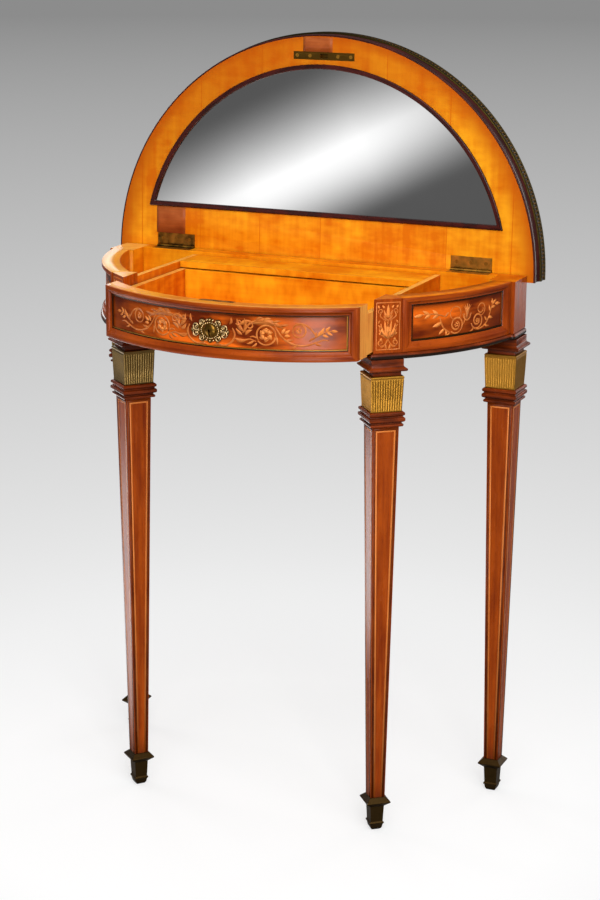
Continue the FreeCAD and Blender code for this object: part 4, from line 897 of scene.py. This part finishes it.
class TableLegs(bpy.types.Operator):
    """Tapered legs with light stringing, their mouldings, reeded capitals and metal feet"""
    bl_idname = "table.legs"
    bl_label = "Legs"

    def execute(self, context):
        for corner in CORNERS:
            for part, material, grain, ease in (("leg", "mahogany_french_polished", ALONG_Z, 0.7),
                                                ("neck_moulding", "mahogany_stained_moulding", hoop_grain, 0.6),
                                                ("collar", "mahogany_stained_moulding", hoop_grain, 0.5),
                                                ("sabot", "bronze_patinated", ALONG_Z, 0.5)):
                eased_copy(f"{part}_{corner}", material, grain, ease)
            self.capital(corner, context.scene.table_sizes.reeds)
            self.stringing(corner)
        return {"FINISHED"}

    def capital(self, corner, reeds):
        """A capital whose faces are cut into upright reeds between two plain lips."""
        place, shape, steps = leg_place(corner), Shape(), 6
        # Height and side as shares of the capital, and how deep the hollows between the reeds are, in mm.
        levels = [(0, 0.90, 0), (0.02, 0.915, 0), (0.03, 0.916, 0), (0.045, 0.918, 0.6), (0.45, 0.955, 0.6),
                  (0.86, 0.988, 0.6), (0.89, 0.99, 0.4), (0.905, 0.985, 0.15), (0.92, 0.972, 0), (0.935, 0.972, 0),
                  (0.945, 0.99, 0), (0.97, 0.99, 0), (0.985, 0.98, 0), (1, 0.95, 0)]
        rows = []
        for height, side, depth in levels:
            half, ring = 0.5 * side * CAPITAL_SIDE, []
            for face in range(4):
                turn = Matrix.Rotation(0.5 * math.pi * face, 4, "Z")
                for k in range(reeds * steps):
                    share = k / (reeds * steps)
                    hollow = depth * (1 - math.sin(math.pi * (share * reeds % 1)) ** 0.7)
                    ring.append(place @ turn @ Vector((half * (2 * share - 1), -half + hollow,
                                                       CAPITAL_BOTTOM + height * CAPITAL_HEIGHT)))
            rows.append(shape.row(ring))
        shape.rod(rows)
        # The capitals on the left are darker: they have lost more of their gilding, and painted shade stands for the
        # drawer's shadow over the front left one.
        material = "bronze_gilt_lost_and_shaded" if corner.endswith("left") else "bronze_gilt_worn"
        shape.make(f"capital_{corner}_reeded", material, "carcase", "gilt_bronze", (f"capital_{corner}",), sharp=50)

    def stringing(self, corner):
        """A light line up and down each face of the shaft and across its top, inside a darker border."""
        place = leg_place(corner)
        middle = place.translation
        lift, width, inset = size("inlay_lift"), size("string_width"), size("string_inset")
        foot = SHAFT_FOOT + 0.4
        taper = (SHAFT_TOP_SIDE - SHAFT_FOOT_SIDE) / (SHAFT_TOP - SHAFT_FOOT)

        def half_side(z):
            return 0.5 * (SHAFT_FOOT_SIDE + taper * (z - SHAFT_FOOT))

        def outline(margin):
            high = SHAFT_TOP - margin
            line = [(half_side(z) - margin, z) for z in (foot, 0.5 * (high + foot), high)]
            return line + [(-x, z) for x, z in reversed(line)]

        for name, margins, material, slot in (
                ("border", (1.0, inset - 0.1), "mahogany_border_polished", "mahogany_legs"),
                ("stringing", (inset, inset + width), "boxwood_stringing", "satinwood")):
            shape = Shape()
            for face in range(4):
                turn = place @ Matrix.Rotation(0.5 * math.pi * face, 4, "Z")
                shape.skin([shape.row([turn @ Vector((x, -half_side(z) - lift, z)) for x, z in outline(margin)],
                                      [(z + 40 * face, margin) for _, z in outline(margin)]) for margin in margins])
            shape.make_sheet(f"leg_{name}_{corner}", material, "carcase",
                             lambda p: Vector((p.x - middle.x, p.y - middle.y, 0)), slot)


class TableCase(bpy.types.Operator):
    """Blocks, stiles, friezes, rails and boards of the case"""
    bl_idname = "table.case"
    bl_label = "Case"

    def execute(self, context):
        ease = size("edge_ease")
        # red is a darker copy of the satinwood, painted shade, on the friezes, the dividers and the upper edges on the
        # right.
        mahogany, satin, red = "mahogany_french_polished", "satinwood_polished", "satinwood_shaded_polished"
        for word, side in SIDES:
            # The upper ends and the faces towards the well are veneered like the inside; the upper ends on the left are
            # painted paler, as sheen.
            top = "satinwood_painted_sheen" if word == "left" else red
            eased_copy(f"front_block_{word}", mahogany, ALONG_Z, ease, others=[(top, UP)])
            eased_copy(f"back_stile_{word}", mahogany, ALONG_Z, ease, others=[
                (top, UP), (satin, lambda face: face.normal.x * side < -0.5)])
            eased_copy(f"frieze_{word}", red, ROUND_CASE, 0.4)
            self.stile_veneer(word, side)
            lay_edge_strip(f"frieze_edge_{word}", FRIEZE_FACES[word], CASE_TOP,
                           (CORE_INNER + 0.6, FRIEZE_RADIUS - 0.5), top, "carcase")
            eased_copy(f"frieze_panel_{word}", "mahogany_curl_frieze_polished", ROUND_CASE, 0)
            # The moulding's lower edge is painted black, as shade.
            eased_copy(f"base_moulding_{word}", "mahogany_moulding_shaded_below", ROUND_CASE, 3.6, 5, clamp=False)
            # The dividers' upper edges are painted paler, as sheen.
            eased_copy(f"divider_{word}", red, ALONG_Y, ease, others=[("satinwood_painted_sheen", UP)])
        eased_copy("base_board", satin, ALONG_X, ease, others=[(mahogany, BACK), ("oak_planed", DOWN)])
        eased_copy("back_rail", satin, ALONG_X, ease, others=[(mahogany, BACK)])
        eased_copy("deck", satin, ALONG_X, ease)
        eased_copy("drawer_runners", "oak_planed", ALONG_Y, 0.3)
        return {"FINISHED"}

    def stile_veneer(self, word, side):
        """A leaf of satinwood on the part of the stile's front that shows in the well."""
        shape, lift = Shape(), size("inlay_lift")
        low, high = (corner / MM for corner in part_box(f"back_stile_{word}"))
        near = side * min(abs(low.x), abs(high.x))
        across = (near + 0.3 * side, near + STILE_IN_WELL * side)
        shape.skin([shape.row([(x, low.y - lift, z) for x in across], [(z, x) for x in across])
                    for z in (low.z + 0.5, high.z - 0.5)])
        shape.make_sheet(f"stile_veneer_{word}", "satinwood_polished", "carcase", lambda p: Vector((0, -1, 0)))


class TableFrames(bpy.types.Operator):
    """Mitred frames round the panels, each with a dark slip and a thin brass line inside it"""
    bl_idname = "table.frames"
    bl_label = "Panel frames"

    def execute(self, context):
        for word, _ in SIDES:
            self.frame(f"frieze_frame_{word}", FRIEZE_FACES[word], CASE_BOTTOM, CASE_TOP, ("low",), "bronze_beads_dull")
        self.frame("drawer_frame", DRAWER_FACE, DRAWER_BOTTOM, DRAWER_TOP, ("low", "right"), "bronze_gilt_worn")
        return {"FINISHED"}

    def frame(self, node, face, bottom, top, lit_sides, bright):
        """The frame of one panel. lit_sides are those where the brass line is in the lit metal named bright; on the
        other sides a dark metal paints the frame's shade.
        """
        # Share of the side's width inwards, and radius in mm.
        profile = [(0, CORE_RADIUS), (0, 311.2), (0.03, 311.75), (0.08, FRIEZE_RADIUS), (0.5, FRIEZE_RADIUS),
                   (0.55, 311.8), (0.6, 311.1), (0.68, 309.9), (0.8, 308.9), (0.93, 308.4), (0.98, 308.3), (1, 307.9),
                   (1, CORE_RADIUS)]
        widths = (FRAME_END, FRAME_TOP, FRAME_BOTTOM)

        def bead(count, inward, radius, thick):
            """A round bead inside the frame: its distance from the frame, its place and how thick it is, in mm."""
            return [(tuple(w + inward + thick * math.cos(a) for w in widths), radius + thick * math.sin(a))
                    for a in (math.pi + turn for turn in turns(count))]

        line = bead(6, 1.9, 306.6, 0.85)
        # The other stretches of the brass line are in a dark metal, painted shade of the frame on them.
        shaded_sides = [word for word in FRAME_SIDES if word not in lit_sides]
        for part, insets, material, slot, stands_for, words in (
                ("mitred", [(tuple(share * w for w in widths), radius) for share, radius in profile],
                 "mahogany_french_polished", "mahogany_case", (node,), FRAME_SIDES),
                # The black slip is partly real and partly painted shade: it also stands for the shade inside the frame.
                ("slip", bead(8, 0.5, 306.9, 0.75), "pearwood_ebonised", "mahogany_mouldings", (), FRAME_SIDES),
                ("brass_line_bright", line, bright, "gilt_bronze", (), lit_sides),
                ("brass_line_shaded", line, "bronze_chased_dark", "gilt_bronze", (), shaded_sides)):
            shape = self.ring(face, bottom, top, insets, words)
            shape.make(f"{node}_{part}", material, body_of_node(node), slot, stands_for, sharp=32)

    def ring(self, face, bottom, top, insets, words):
        """Sides round the front, mitred, with the grain along each. insets are ((end, top, bottom), radius)."""
        shape = Shape()
        for word in words:
            level, rows = word in ("low", "high"), []
            count = ARC_STEPS if level else 1
            for (end, high, low), radius in insets:
                a0, a1, z0, z1 = end, face.length - end, bottom + low, top - high
                (from_a, from_z), (to_a, to_z) = {
                    "low": ((a0, z0), (a1, z0)), "right": ((a1, z0), (a1, z1)),
                    "high": ((a1, z1), (a0, z1)), "left": ((a0, z1), (a0, z0))}[word]
                places = [(from_a + (to_a - from_a) * k / count, from_z + (to_z - from_z) * k / count)
                          for k in range(count + 1)]
                rows.append(shape.row([face.point(a, z, radius) for a, z in places],
                                      [(a if level else z, end + radius) for a, z in places]))
            shape.skin(rows, closed=True)
        return shape


class TableMarquetry(bpy.types.Operator):
    """Scrolls, leaves and buds let into the drawer, the friezes and the blocks"""
    bl_idname = "table.marquetry"
    bl_label = "Marquetry"

    def execute(self, context):
        middle = 0.5 * (DRAWER_BOTTOM + FRAME_BOTTOM + DRAWER_TOP - FRAME_TOP)
        lay_pattern("drawer_marquetry", DRAWER_PATTERN,
                    lambda a, z, lift: DRAWER_FACE.point(0.5 * DRAWER_FACE.length + a, middle + z, PANEL_RADIUS + lift),
                    DRAWER_FACE.outward, "drawer", (1, -1))
        middle = 0.5 * (CASE_BOTTOM + FRAME_BOTTOM + CASE_TOP - FRAME_TOP)
        height = 0.5 * (CASE_BOTTOM + CASE_TOP)
        for word, side in SIDES:
            face = FRIEZE_FACES[word]
            lay_pattern(f"frieze_marquetry_{word}", FRIEZE_PATTERN,
                        lambda a, z, lift: face.point(a, middle + z, PANEL_RADIUS + lift), face.outward, "carcase",
                        (1,))
            turn = side * FRONT_TURN
            out, along = Vector((math.sin(turn), -math.cos(turn), 0)), Vector((math.cos(turn), math.sin(turn), 0))
            centre = Vector((0, ARC_Y, 0)) + out * BLOCK_FACE

            def place(a, z, lift):
                return centre + along * a + out * lift + Vector((0, 0, height + z))
            lay_pattern(f"block_marquetry_{word}", BLOCK_PATTERN, place, lambda p: out, "carcase", (1, -1))
            self.border(word, place, out)
        return {"FINISHED"}

    def border(self, word, place, out):
        """The light line round a block's face."""
        shape, rows = Shape(), []
        for inset in (0, 0.55 * size("string_width")):
            wide, high = BLOCK_HALF - 3.2 - inset, 0.5 * (CASE_TOP - CASE_BOTTOM) - 4.2 - inset
            corners = [(-wide, -high), (wide, -high), (wide, high), (-wide, high)]
            rows.append(shape.row([place(a, z, size("inlay_lift")) for a, z in corners],
                                  [(a + z, inset) for a, z in corners]))
        shape.skin(rows, closed_rows=True)
        shape.make_sheet(f"block_stringing_{word}", "boxwood_stringing", "carcase", lambda p: out)


class TableLid(bpy.types.Operator):
    """Lid board, edge moulding, beaded band, mirror and its frame"""
    bl_idname = "table.lid"
    bl_label = "Lid"

    def execute(self, context):
        outer, back = (facing(LID_TURN @ Vector(axis)) for axis in ((0, 0, 1), (0, 1, 0)))

        def in_lid(face):
            return LID_PLACE.inverted() @ (face.center / MM)

        def in_mortise(face):
            local = in_lid(face)
            return (abs(local.x) < KEEP_HALF_HOLE and KEEP_BACK < -local.y < KEEP_FRONT
                    and KEEP_SHALLOW < local.z < KEEP_DEEP)

        eased_copy("lid_board", "satinwood_lid_polished", lid_grain, 0.4, others=[
            ("mahogany_lid_top_french_polished", lambda face: outer(face) and in_lid(face).z > LID_THICKNESS - 1),
            ("brass_browned", in_mortise),
            ("mahogany_french_polished", lambda face: back(face) and in_lid(face).y > LID_BACK - 0.5)])
        eased_copy("lid_edge_moulding", "mahogany_oxblood_polished", ROUND_LID, 0.35)
        eased_copy("mirror_frame", "mahogany_oxblood_polished", ROUND_LID, 1.6, 4)
        eased_copy("mirror_glass", "glass_silvered", ROUND_LID, 0)
        self.band()
        self.beads()
        self.patches()
        return {"FINISHED"}

    def band(self):
        """A metal band in a channel shape."""
        shape, steps, rows = Shape(), 120, []
        angles = [math.pi * k / steps for k in range(steps + 1)]
        # Distance out and height in the band, in mm.
        profile = [(0, 0), (1.6, 0.4), (2.35, 1.3), (2.5, 2.2), (2.35, 3.1), (1.0, 3.8), (1.0, 17.2), (2.35, 17.9),
                   (2.5, 18.8), (2.35, 19.7), (1.6, 20.6), (0, 21)]
        for out, height in profile:
            radius = BAND_INNER + out
            path = [(radius * math.cos(a), -radius * math.sin(a)) for a in angles]
            path = [(radius, LID_BACK), *path, (-radius, LID_BACK)]
            rows.append(shape.row([LID_PLACE @ Vector((x, y, BAND_LOW + height)) for x, y in path]))
        shape.skin(rows, closed=True)
        shape.faces += [tuple(row[end] for row in rows) for end in (0, -1)]
        shape.make("lid_band_channel", "bronze_blackened", "lid", "gilt_bronze", ("lid_metal_band",))

    def beads(self):
        """Two rows of beads in the band's channel."""
        shape = Shape()
        count = int(math.pi * BAND_INNER / size("bead_pitch"))
        for k in range(count):
            angle = math.pi * (k + 0.5) / count
            out = Vector((math.cos(angle), -math.sin(angle), 0))
            for height in (7.2, 13.8):
                shape.ball(LID_PLACE @ (out * (BAND_INNER + 0.95) + Vector((0, 0, BAND_LOW + height))), LID_TURN @ out,
                           2.3, 1.45, around=9)
        shape.make("lid_band_beads", "bronze_beads_dull", "lid", "gilt_bronze", weld=False, sharp=60)

    def patches(self):
        """Two darker patches of veneer let into the underside."""
        lift, steps = size("inlay_lift"), 8
        for word, across, up in (("upper", (-32, 13), (300, 320.5)), ("lower", (-263, -216), (27.5, 68))):
            shape, rows = Shape(), []
            for share in (0, 1):
                row = []
                for x in (across[0] + (across[1] - across[0]) * k / steps for k in range(steps + 1)):
                    high = min(up[1], math.sqrt((LID_RADIUS - 0.6) ** 2 - x * x))
                    row.append((x, up[0] + (high - up[0]) * share))
                rows.append(shape.row([LID_PLACE @ Vector((x, -v, -lift)) for x, v in row], row))
            shape.skin(rows)
            shape.make_sheet(f"lid_patch_{word}", "satinwood_darkened", "lid", lambda p: LID_TURN @ Vector((0, 0, -1)))


class TableDrawer(bpy.types.Operator):
    """Front, panel, sides, back and bottom of the drawer"""
    bl_idname = "table.drawer"
    bl_label = "Drawer"

    def execute(self, context):
        ease = size("edge_ease")
        # red is a darker copy of the satinwood, painted shade, on the drawer's sides and the outer strip of its upper
        # edge.
        satin, red, bare = "satinwood_polished", "satinwood_shaded_polished", "oak_planed"
        eased_copy("drawer_front", bare, ALONG_Z, 0.3, others=[(satin, UP)])
        # Strips along the front's upper edge, with their radii; the middle one's paleness is partly painted highlight.
        for word, radii, material in (("inner", (302.5, 304.3), satin), ("middle", (304.4, 307.4), "boxwood_edging_and_highlight"),
                                      ("outer", (307.5, 311.4), red)):
            lay_edge_strip(f"drawer_edge_{word}", DRAWER_FACE, DRAWER_TOP, radii, material, "drawer")
        eased_copy("drawer_panel", "mahogany_curl_drawer_polished", ROUND_DRAWER, 0)
        for word, side in SIDES:
            # The sides' upper edges are painted paler, as sheen.
            eased_copy(f"drawer_side_{word}", red, upright_outside, ease, others=[
                (bare, facing((side, 0, 0))), ("satinwood_painted_sheen", UP)])
        eased_copy("drawer_back", satin, ALONG_X, ease)
        eased_copy("drawer_bottom", satin, ALONG_X, 0)
        return {"FINISHED"}


class TableFittings(bpy.types.Operator):
    """Hinges, screws, keep plate, lock and escutcheon"""
    bl_idname = "table.fittings"
    bl_label = "Metal fittings"

    def execute(self, context):
        # The hinge on the right is brighter than the rest.
        for node, ease in (("hinge_case_leaves", 0.15), ("hinge_lid_leaves", 0.15), ("hinge_pins", 0.1),
                           ("lock_case", 0.3), ("lock_bolt", 0.4)):
            eased_copy(node, "brass_tarnished", ALONG_X, ease, others=[
                ("brass_rubbed", lambda face: face.center.x > BRIGHTER_FROM * MM)])
        eased_copy("keep_plate", "brass_browned", ALONG_X, 0.25)
        self.screws("hinge_case_screws", Vector((0, 0, 1)))
        self.screws("lid_screws", LID_TURN @ Vector((0, 0, -1)))
        low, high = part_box("escutcheon")
        middle = (low + high) / 2
        eased_copy("escutcheon", "bronze_chased_dark", ALONG_X, 0.25, others=[
            ("brass_browned",
             lambda face: math.hypot(face.center.x - middle.x, face.center.z - middle.z) < KEYHOLE_REACH * MM)])
        self.ornament(middle / MM, high.y / MM - ESCUTCHEON_FACE)
        return {"FINISHED"}

    def screws(self, node, axis):
        """Round heads with a slot, where the CAD has its screws."""
        shape = bmesh.new()
        shape.from_mesh(frame["nodes"][node].data)
        bmesh.ops.remove_doubles(shape, verts=shape.verts, dist=1e-6)
        shape.verts.index_update()
        left, heads = set(shape.verts), []
        while left:
            island, queue = set(), [left.pop()]
            while queue:
                vert = queue.pop()
                island.add(vert)
                for edge in vert.link_edges:
                    other = edge.other_vert(vert)
                    if other in left:
                        left.discard(other)
                        queue.append(other)
            # Sums depend a little on their order, which a set doesn't keep from run to run.
            island = sorted(island, key=lambda v: v.index)
            middle = sum((v.co for v in island), Vector()) / len(island)
            rises = [(v.co - middle).dot(axis) for v in island]
            radius = max(((v.co - middle) - axis * (v.co - middle).dot(axis)).length for v in island)
            heads.append((middle / MM, max(rises) / MM, min(rises) / MM, radius / MM))
        shape.free()
        made = Shape()
        heads.sort(key=lambda head: tuple(round(part, 3) for part in head[0]))
        for number, head in enumerate(heads):
            self.screw(made, axis, 0.7 + 0.9 * number, *head)
        made.make(f"{node}_slotted", "bronze_gilt_worn", body_of_node(node), slot_of_node(node), (node,), weld=False,
                  sharp=30)

    def screw(self, shape, axis, turn, middle, top, bottom, radius):
        """One screw: a shank, and a flat head in two halves beside its slot."""
        side = axis.orthogonal().normalized()
        side = side * math.cos(turn) + axis.cross(side) * math.sin(turn)
        other = axis.cross(side)
        slot, slot_floor, under, around, shank = 0.16 * radius, top - 0.45, top - 0.9, 10, 0.5 * radius

        def ring(points, z):
            return shape.row([middle + side * x + other * y + axis * z for x, y in points])
        start = math.asin(slot / radius)
        for half in (1, -1):
            rim = [(radius * math.cos(a), radius * math.sin(a)) for a in
                   (half * (start + (math.pi - 2 * start) * k / around) for k in range(around + 1))]
            shape.rod([ring(rim, top), ring(rim, under)])
        edge = math.sqrt(radius ** 2 - slot ** 2)
        bar = [(-edge, -slot), (edge, -slot), (edge, slot), (-edge, slot)]
        shape.rod([ring(bar, slot_floor), ring(bar, under)])
        round_bar = [(shank * math.cos(a), shank * math.sin(a)) for a in turns(8)]
        shape.rod([ring(round_bar, under), ring(round_bar, bottom)])

    def ornament(self, centre, face):
        """Bead ring, scrolls and crown on the escutcheon, whose plate lies at face."""
        shape, front = Shape(), (0, -1, 0)

        def at(x, z, out):
            return Vector((x, face - out + x * x / (2 * PANEL_RADIUS), centre.z + z))

        def bead(x, z, out, radius, height):
            shape.ball(at(x, z, out), front, radius, height)
        for turn in turns(24):
            bead(12.4 * math.cos(turn), 10.4 * math.sin(turn), 0.1, 1.25, 1.5)
        large, small = spiral((20.0, 4.6), 5.4, 1.6, 215, 1.25, 20), spiral((11.4, 10.2), 3.9, 1.2, 300, 1.3, 16)
        for side in (1, -1):
            for up in (1, -1):
                shape.tube([at(side * p.x, up * p.y, 0.7) for p in large], 1.1, 0.75)
                bead(side * 20.0, up * 4.6, 0.4, 1.5, 1.3)
            bead(side * 25.2, 0, 0.2, 1.7, 1.4)
            for up in (1, -1):
                shape.tube([at(side * p.x, up * p.y, 0.5) for p in small], 0.95, 0.65)
        # Rows of beads above and below: number, middle and step in degrees, how high they lie, radius and height.
        for count, middle, step, high, radius, height in ((5, 90, 17, 14.3, 1.5, 1.4), (3, 270, 20, 13.8, 1.4, 1.3)):
            for k in range(count):
                turn = math.radians(middle + step * (k - count // 2))
                bead(15.0 * math.cos(turn), high * math.sin(turn), 0.2, radius, height)
        shape.make("escutcheon_ornament", "bronze_gilt_rubbed", "drawer", "gilt_bronze", weld=False, sharp=60)


# Studio lights: place and target, width and height in metres, and power in watts.
SOFT_BOXES = (
    ("soft box above", (0.9, -1.6, 2.8), (0, 0, 0.7), 2.2, 1.8, 38),
    ("soft box by the camera", (1.5, -2.5, 1.9), (0, 0, 0.75), 1.0, 1.0, 41),
    ("soft box left", (-2.4, 0.6, 0.9), (0, 0, 0.5), 1.0, 1.8, 15),
    ("soft box right", (2.4, -1.3, 1.5), (0, 0, 0.6), 1.2, 1.8, 8),
    ("soft box behind", (1.1, 2.4, 1.0), (0, 0, 0.6), 0.8, 1.6, 6.5),
    ("soft box behind left", (-1.8, 2.0, 1.25), (-0.3, 0, 0.76), 0.9, 0.7, 8),
    ("soft box low", (0.97, -1.66, 0.32), (0.13, -0.17, 0.72), 0.55, 0.6, 10),
)
ROOM_LIGHT, ROOM_GREY = 0.39, "#8C8C8C"
# The card behind the camera that the mirror shows: half of its width and height, place in metres and tilt.
CARD_HALF = (0.8, 0.45)
CARD_PLACE, CARD_TILT = (-0.79, -1.6, 0.786), math.radians(-26.6)
# The floor's rings in metres. It lies a little below the feet, so that the two never share a plane.
FLOOR_RINGS, FLOOR_AROUND, FLOOR_LEVEL = (0.5, 1.5, 4.0, 12.0, 60.0), 48, -0.0003
# The camera, fitted to the photograph: place in mm from the middle of the case's arc, turn, slope and roll in degrees.
CAMERA_PLACE, CAMERA_ANGLES = (1195.5, -2798.5, 1299.8), (23.72, 15.18, 0.34)
SENSOR, LENS, SHIFT = 36.0, 85.5, 0.00406


def put_in_studio(name, mesh, material):
    """Makes a piece of the studio, which isn't part of the table."""
    mesh.materials.append(material)
    piece = bpy.data.objects.new(name, mesh)
    bpy.context.scene.collection.objects.link(piece)
    return piece


class TableStage(bpy.types.Operator):
    """Paper floor, soft studio lights and the camera"""
    bl_idname = "table.stage"
    bl_label = "Stage"

    def execute(self, context):
        scene = context.scene
        scene.view_settings.view_transform = "Standard"
        self.floor(scene.table_colours)
        self.world(scene)
        for name, place, target, wide, high, power in SOFT_BOXES:
            data = bpy.data.lights.new(name, "AREA")
            data.shape, data.size, data.size_y, data.energy = "RECTANGLE", wide, high, power
            lamp = bpy.data.objects.new(name, data)
            lamp.location = place
            lamp.rotation_euler = (Vector(target) - Vector(place)).to_track_quat("-Z", "Y").to_euler()
            lamp.visible_camera = False
            lamp.visible_diffuse = name != "soft box low"
            lamp.visible_glossy = name != "soft box left"
            scene.collection.objects.link(lamp)
        self.card()
        self.camera(scene)
        return {"FINISHED"}

    def card(self):
        """A dark card with a feathered strip of light, which only polished surfaces show: the mirror's bright band."""
        mesh, (wide, high) = bpy.data.meshes.new("strip light"), CARD_HALF
        mesh.from_pydata([(-wide, 0, -high), (wide, 0, -high), (wide, 0, high), (-wide, 0, high)], [], [(0, 1, 2, 3)])
        material, add, _ = start_material("strip_light_feathered")
        axes = add("SeparateXYZ", {0: add("TexCoord", out="Object")}, None)
        low = add("MapRange", {"Value": axes[2], "From Min": -0.2, "From Max": -0.03}, interpolation_type="SMOOTHSTEP")
        up = add("MapRange", {"Value": axes[2], "From Min": 0.175, "From Max": -0.02})
        up = add("Math", {0: up, 1: 1.75}, operation="POWER")
        share = add("Math", {0: low, 1: up}, operation="MULTIPLY")
        for dim, full in ((-0.55, -0.15), (0.42, 0.14)):
            end = add("MapRange", {"Value": axes[0], "From Min": dim, "From Max": full, "To Min": 0.5})
            share = add("Math", {0: share, 1: end}, operation="MULTIPLY")
        strength = add("MapRange", {"Value": share, "To Min": 0.118, "To Max": 1.34})
        glow = add("Emission", {"Color": (1, 1, 1), "Strength": strength})
        connect(material.node_tree.nodes["Material Output"], {"Surface": glow})
        card = put_in_studio("strip light", mesh, material)
        card.location, card.rotation_euler = CARD_PLACE, (0, CARD_TILT, 0)
        card.visible_camera = card.visible_diffuse = card.visible_shadow = False

    def floor(self, colours):
        """A wide paper floor, white round the table and greyer far away."""
        mesh = bpy.data.meshes.new("floor")
        points, faces = [(0, 0, FLOOR_LEVEL)], []
        for reach in FLOOR_RINGS:
            points += [(reach * math.cos(a), reach * math.sin(a), FLOOR_LEVEL) for a in turns(FLOOR_AROUND)]
        for k in range(FLOOR_AROUND):
            after = (k + 1) % FLOOR_AROUND
            faces.append((0, 1 + k, 1 + after))
            for one in range(1, 1 + FLOOR_AROUND * (len(FLOOR_RINGS) - 1), FLOOR_AROUND):
                two = one + FLOOR_AROUND
                faces.append((one + k, two + k, two + after, one + after))
        mesh.from_pydata(points, [], faces)
        # Seamless paper: matt and even, with a very fine tooth. Near the table it is lit and keeps the shadow; farther
        # off the camera sees its plain colour. It throws little light back, as a dark room's floor does.
        material, add, shader = start_material("paper_matt", {
            "Base Color": colours.floor_near, "Roughness": 0.9, "Specular IOR Level": 0.0})
        place = add("TexCoord", out="Object")
        reach = add("VectorMath", {0: place}, "Value", operation="LENGTH")
        far = add("Math", {0: reach, 1: 2.0}, operation="LOGARITHM")
        share = add("MapRange", {"Value": far, "From Min": -1.2, "From Max": 4.1})
        tooth = add("TexNoise", {"Vector": place, "Scale": 1 / (3 * MM)})
        connect(shader, {"Normal": add("Bump", {"Height": tooth, "Strength": 0.03, "Distance": 0.5 * MM})})
        shade = add("Mix", {0: share, 6: colours.floor_near, 7: colours.floor_far}, 2, data_type="RGBA")
        plain = add("Emission", {"Color": shade, "Strength": 1.0})
        away = add("MapRange", {"Value": reach, "From Min": 0.3, "From Max": 1.0, "To Min": 0.55},
                   interpolation_type="SMOOTHSTEP")
        pale = add("MixShader", {0: away, 1: shader.outputs[0], 2: plain})
        grey = add("BsdfDiffuse", {"Color": (0.3, 0.3, 0.3)})
        # Polished wood would show a veil of white paper everywhere; it sees the floor as grey too, but for a glowing
        # patch on the left that only reflections show: a painted reflection, which puts a sheen on the left faces of
        # the legs.
        ray = add("LightPath", out=None)
        left = add("MapRange", {"Value": add("SeparateXYZ", {0: place}), "From Min": -0.3, "From Max": -0.6})
        close = add("MapRange", {"Value": reach, "From Min": 2.1, "From Max": 1.6})
        patch = add("Math", {0: left, 1: close}, operation="MULTIPLY")
        patch = add("Math", {0: patch, 1: ray["Is Glossy Ray"]}, operation="MULTIPLY")
        white = add("Emission", {"Color": (1, 1, 1), "Strength": 3.2})
        shown = add("MixShader", {0: patch, 1: grey, 2: white})
        both = add("MixShader", {0: ray["Is Camera Ray"], 1: shown, 2: pale})
        connect(material.node_tree.nodes["Material Output"], {"Surface": both})
        put_in_studio("floor", mesh, material)

    def world(self, scene):
        """Even light all round; the camera, metal and glass see a pale grey room."""
        scene.world = bpy.data.worlds.new("studio")
        scene.world.use_nodes = True
        tree = scene.world.node_tree
        add = functools.partial(add_node, tree)
        light = tree.nodes["Background"]
        connect(light, {"Color": (1, 1, 1), "Strength": ROOM_LIGHT})
        room = add("Background", {"Color": linear(ROOM_GREY), "Strength": 1.0})
        ray = add("LightPath", out=None)
        seen = ray["Is Camera Ray"]
        for kind in ("Is Glossy Ray", "Is Transmission Ray"):
            seen = add("Math", {0: seen, 1: ray[kind]}, operation="MAXIMUM")
        mix = add("MixShader", {0: seen, 1: light.outputs[0], 2: room})
        connect(tree.nodes["World Output"], {"Surface": mix})

    def camera(self, scene):
        """The camera at the photograph's place, for a picture 600 wide and 900 high."""
        azimuth, down, roll = (math.radians(angle) for angle in CAMERA_ANGLES)
        right = Vector((math.cos(azimuth), math.sin(azimuth), 0))
        ahead = Vector((-math.sin(azimuth) * math.cos(down), math.cos(azimuth) * math.cos(down), -math.sin(down)))
        up = right.cross(ahead)
        across = right * math.cos(roll) + up * math.sin(roll)
        up = up * math.cos(roll) - right * math.sin(roll)
        data = bpy.data.cameras.new("camera")
        data.sensor_width, data.lens, data.shift_x = SENSOR, LENS, SHIFT
        data.clip_start, data.clip_end = 0.05, 200.0
        camera = bpy.data.objects.new("camera", data)
        camera.matrix_world = Matrix.Translation((Vector((0, ARC_Y, 0)) + Vector(CAMERA_PLACE)) * MM) @ Matrix(
            (across, up, -ahead)).transposed().to_4x4()
        scene.collection.objects.link(camera)
        scene.camera = camera


class VIEW3D_PT_table(bpy.types.Panel):
    """Lists the steps that dress the table"""
    bl_idname = "VIEW3D_PT_table"
    bl_label = "Dressing table"
    bl_space_type = "VIEW_3D"
    bl_region_type = "UI"
    bl_category = "Table"

    def draw(self, context):
        for step in STEPS:
            self.layout.operator(step.bl_idname)
        for group in (context.scene.table_sizes, context.scene.table_colours):
            box = self.layout.box()
            for name in group.bl_rna.properties.keys():
                if name not in ("rna_type", "name"):
                    box.prop(group, name)


STEPS = (TableStage, TableLegs, TableCase, TableFrames, TableMarquetry, TableLid, TableDrawer, TableFittings)
GROUPS = (TableSizes, TableColours)


def register():
    for kind in (*GROUPS, *STEPS, VIEW3D_PT_table):
        bpy.utils.register_class(kind)
    bpy.types.Scene.table_sizes = bpy.props.PointerProperty(type=TableSizes)
    bpy.types.Scene.table_colours = bpy.props.PointerProperty(type=TableColours)


def unregister():
    del bpy.types.Scene.table_colours
    del bpy.types.Scene.table_sizes
    for kind in reversed((*GROUPS, *STEPS, VIEW3D_PT_table)):
        bpy.utils.unregister_class(kind)


def main():
    register()
    bpy.ops.table.stage()
    bpy.ops.table.legs()
    bpy.ops.table.case()
    bpy.ops.table.frames()
    bpy.ops.table.marquetry()
    bpy.ops.table.lid()
    bpy.ops.table.drawer()
    bpy.ops.table.fittings()


if __name__ == "__main__":
    main()
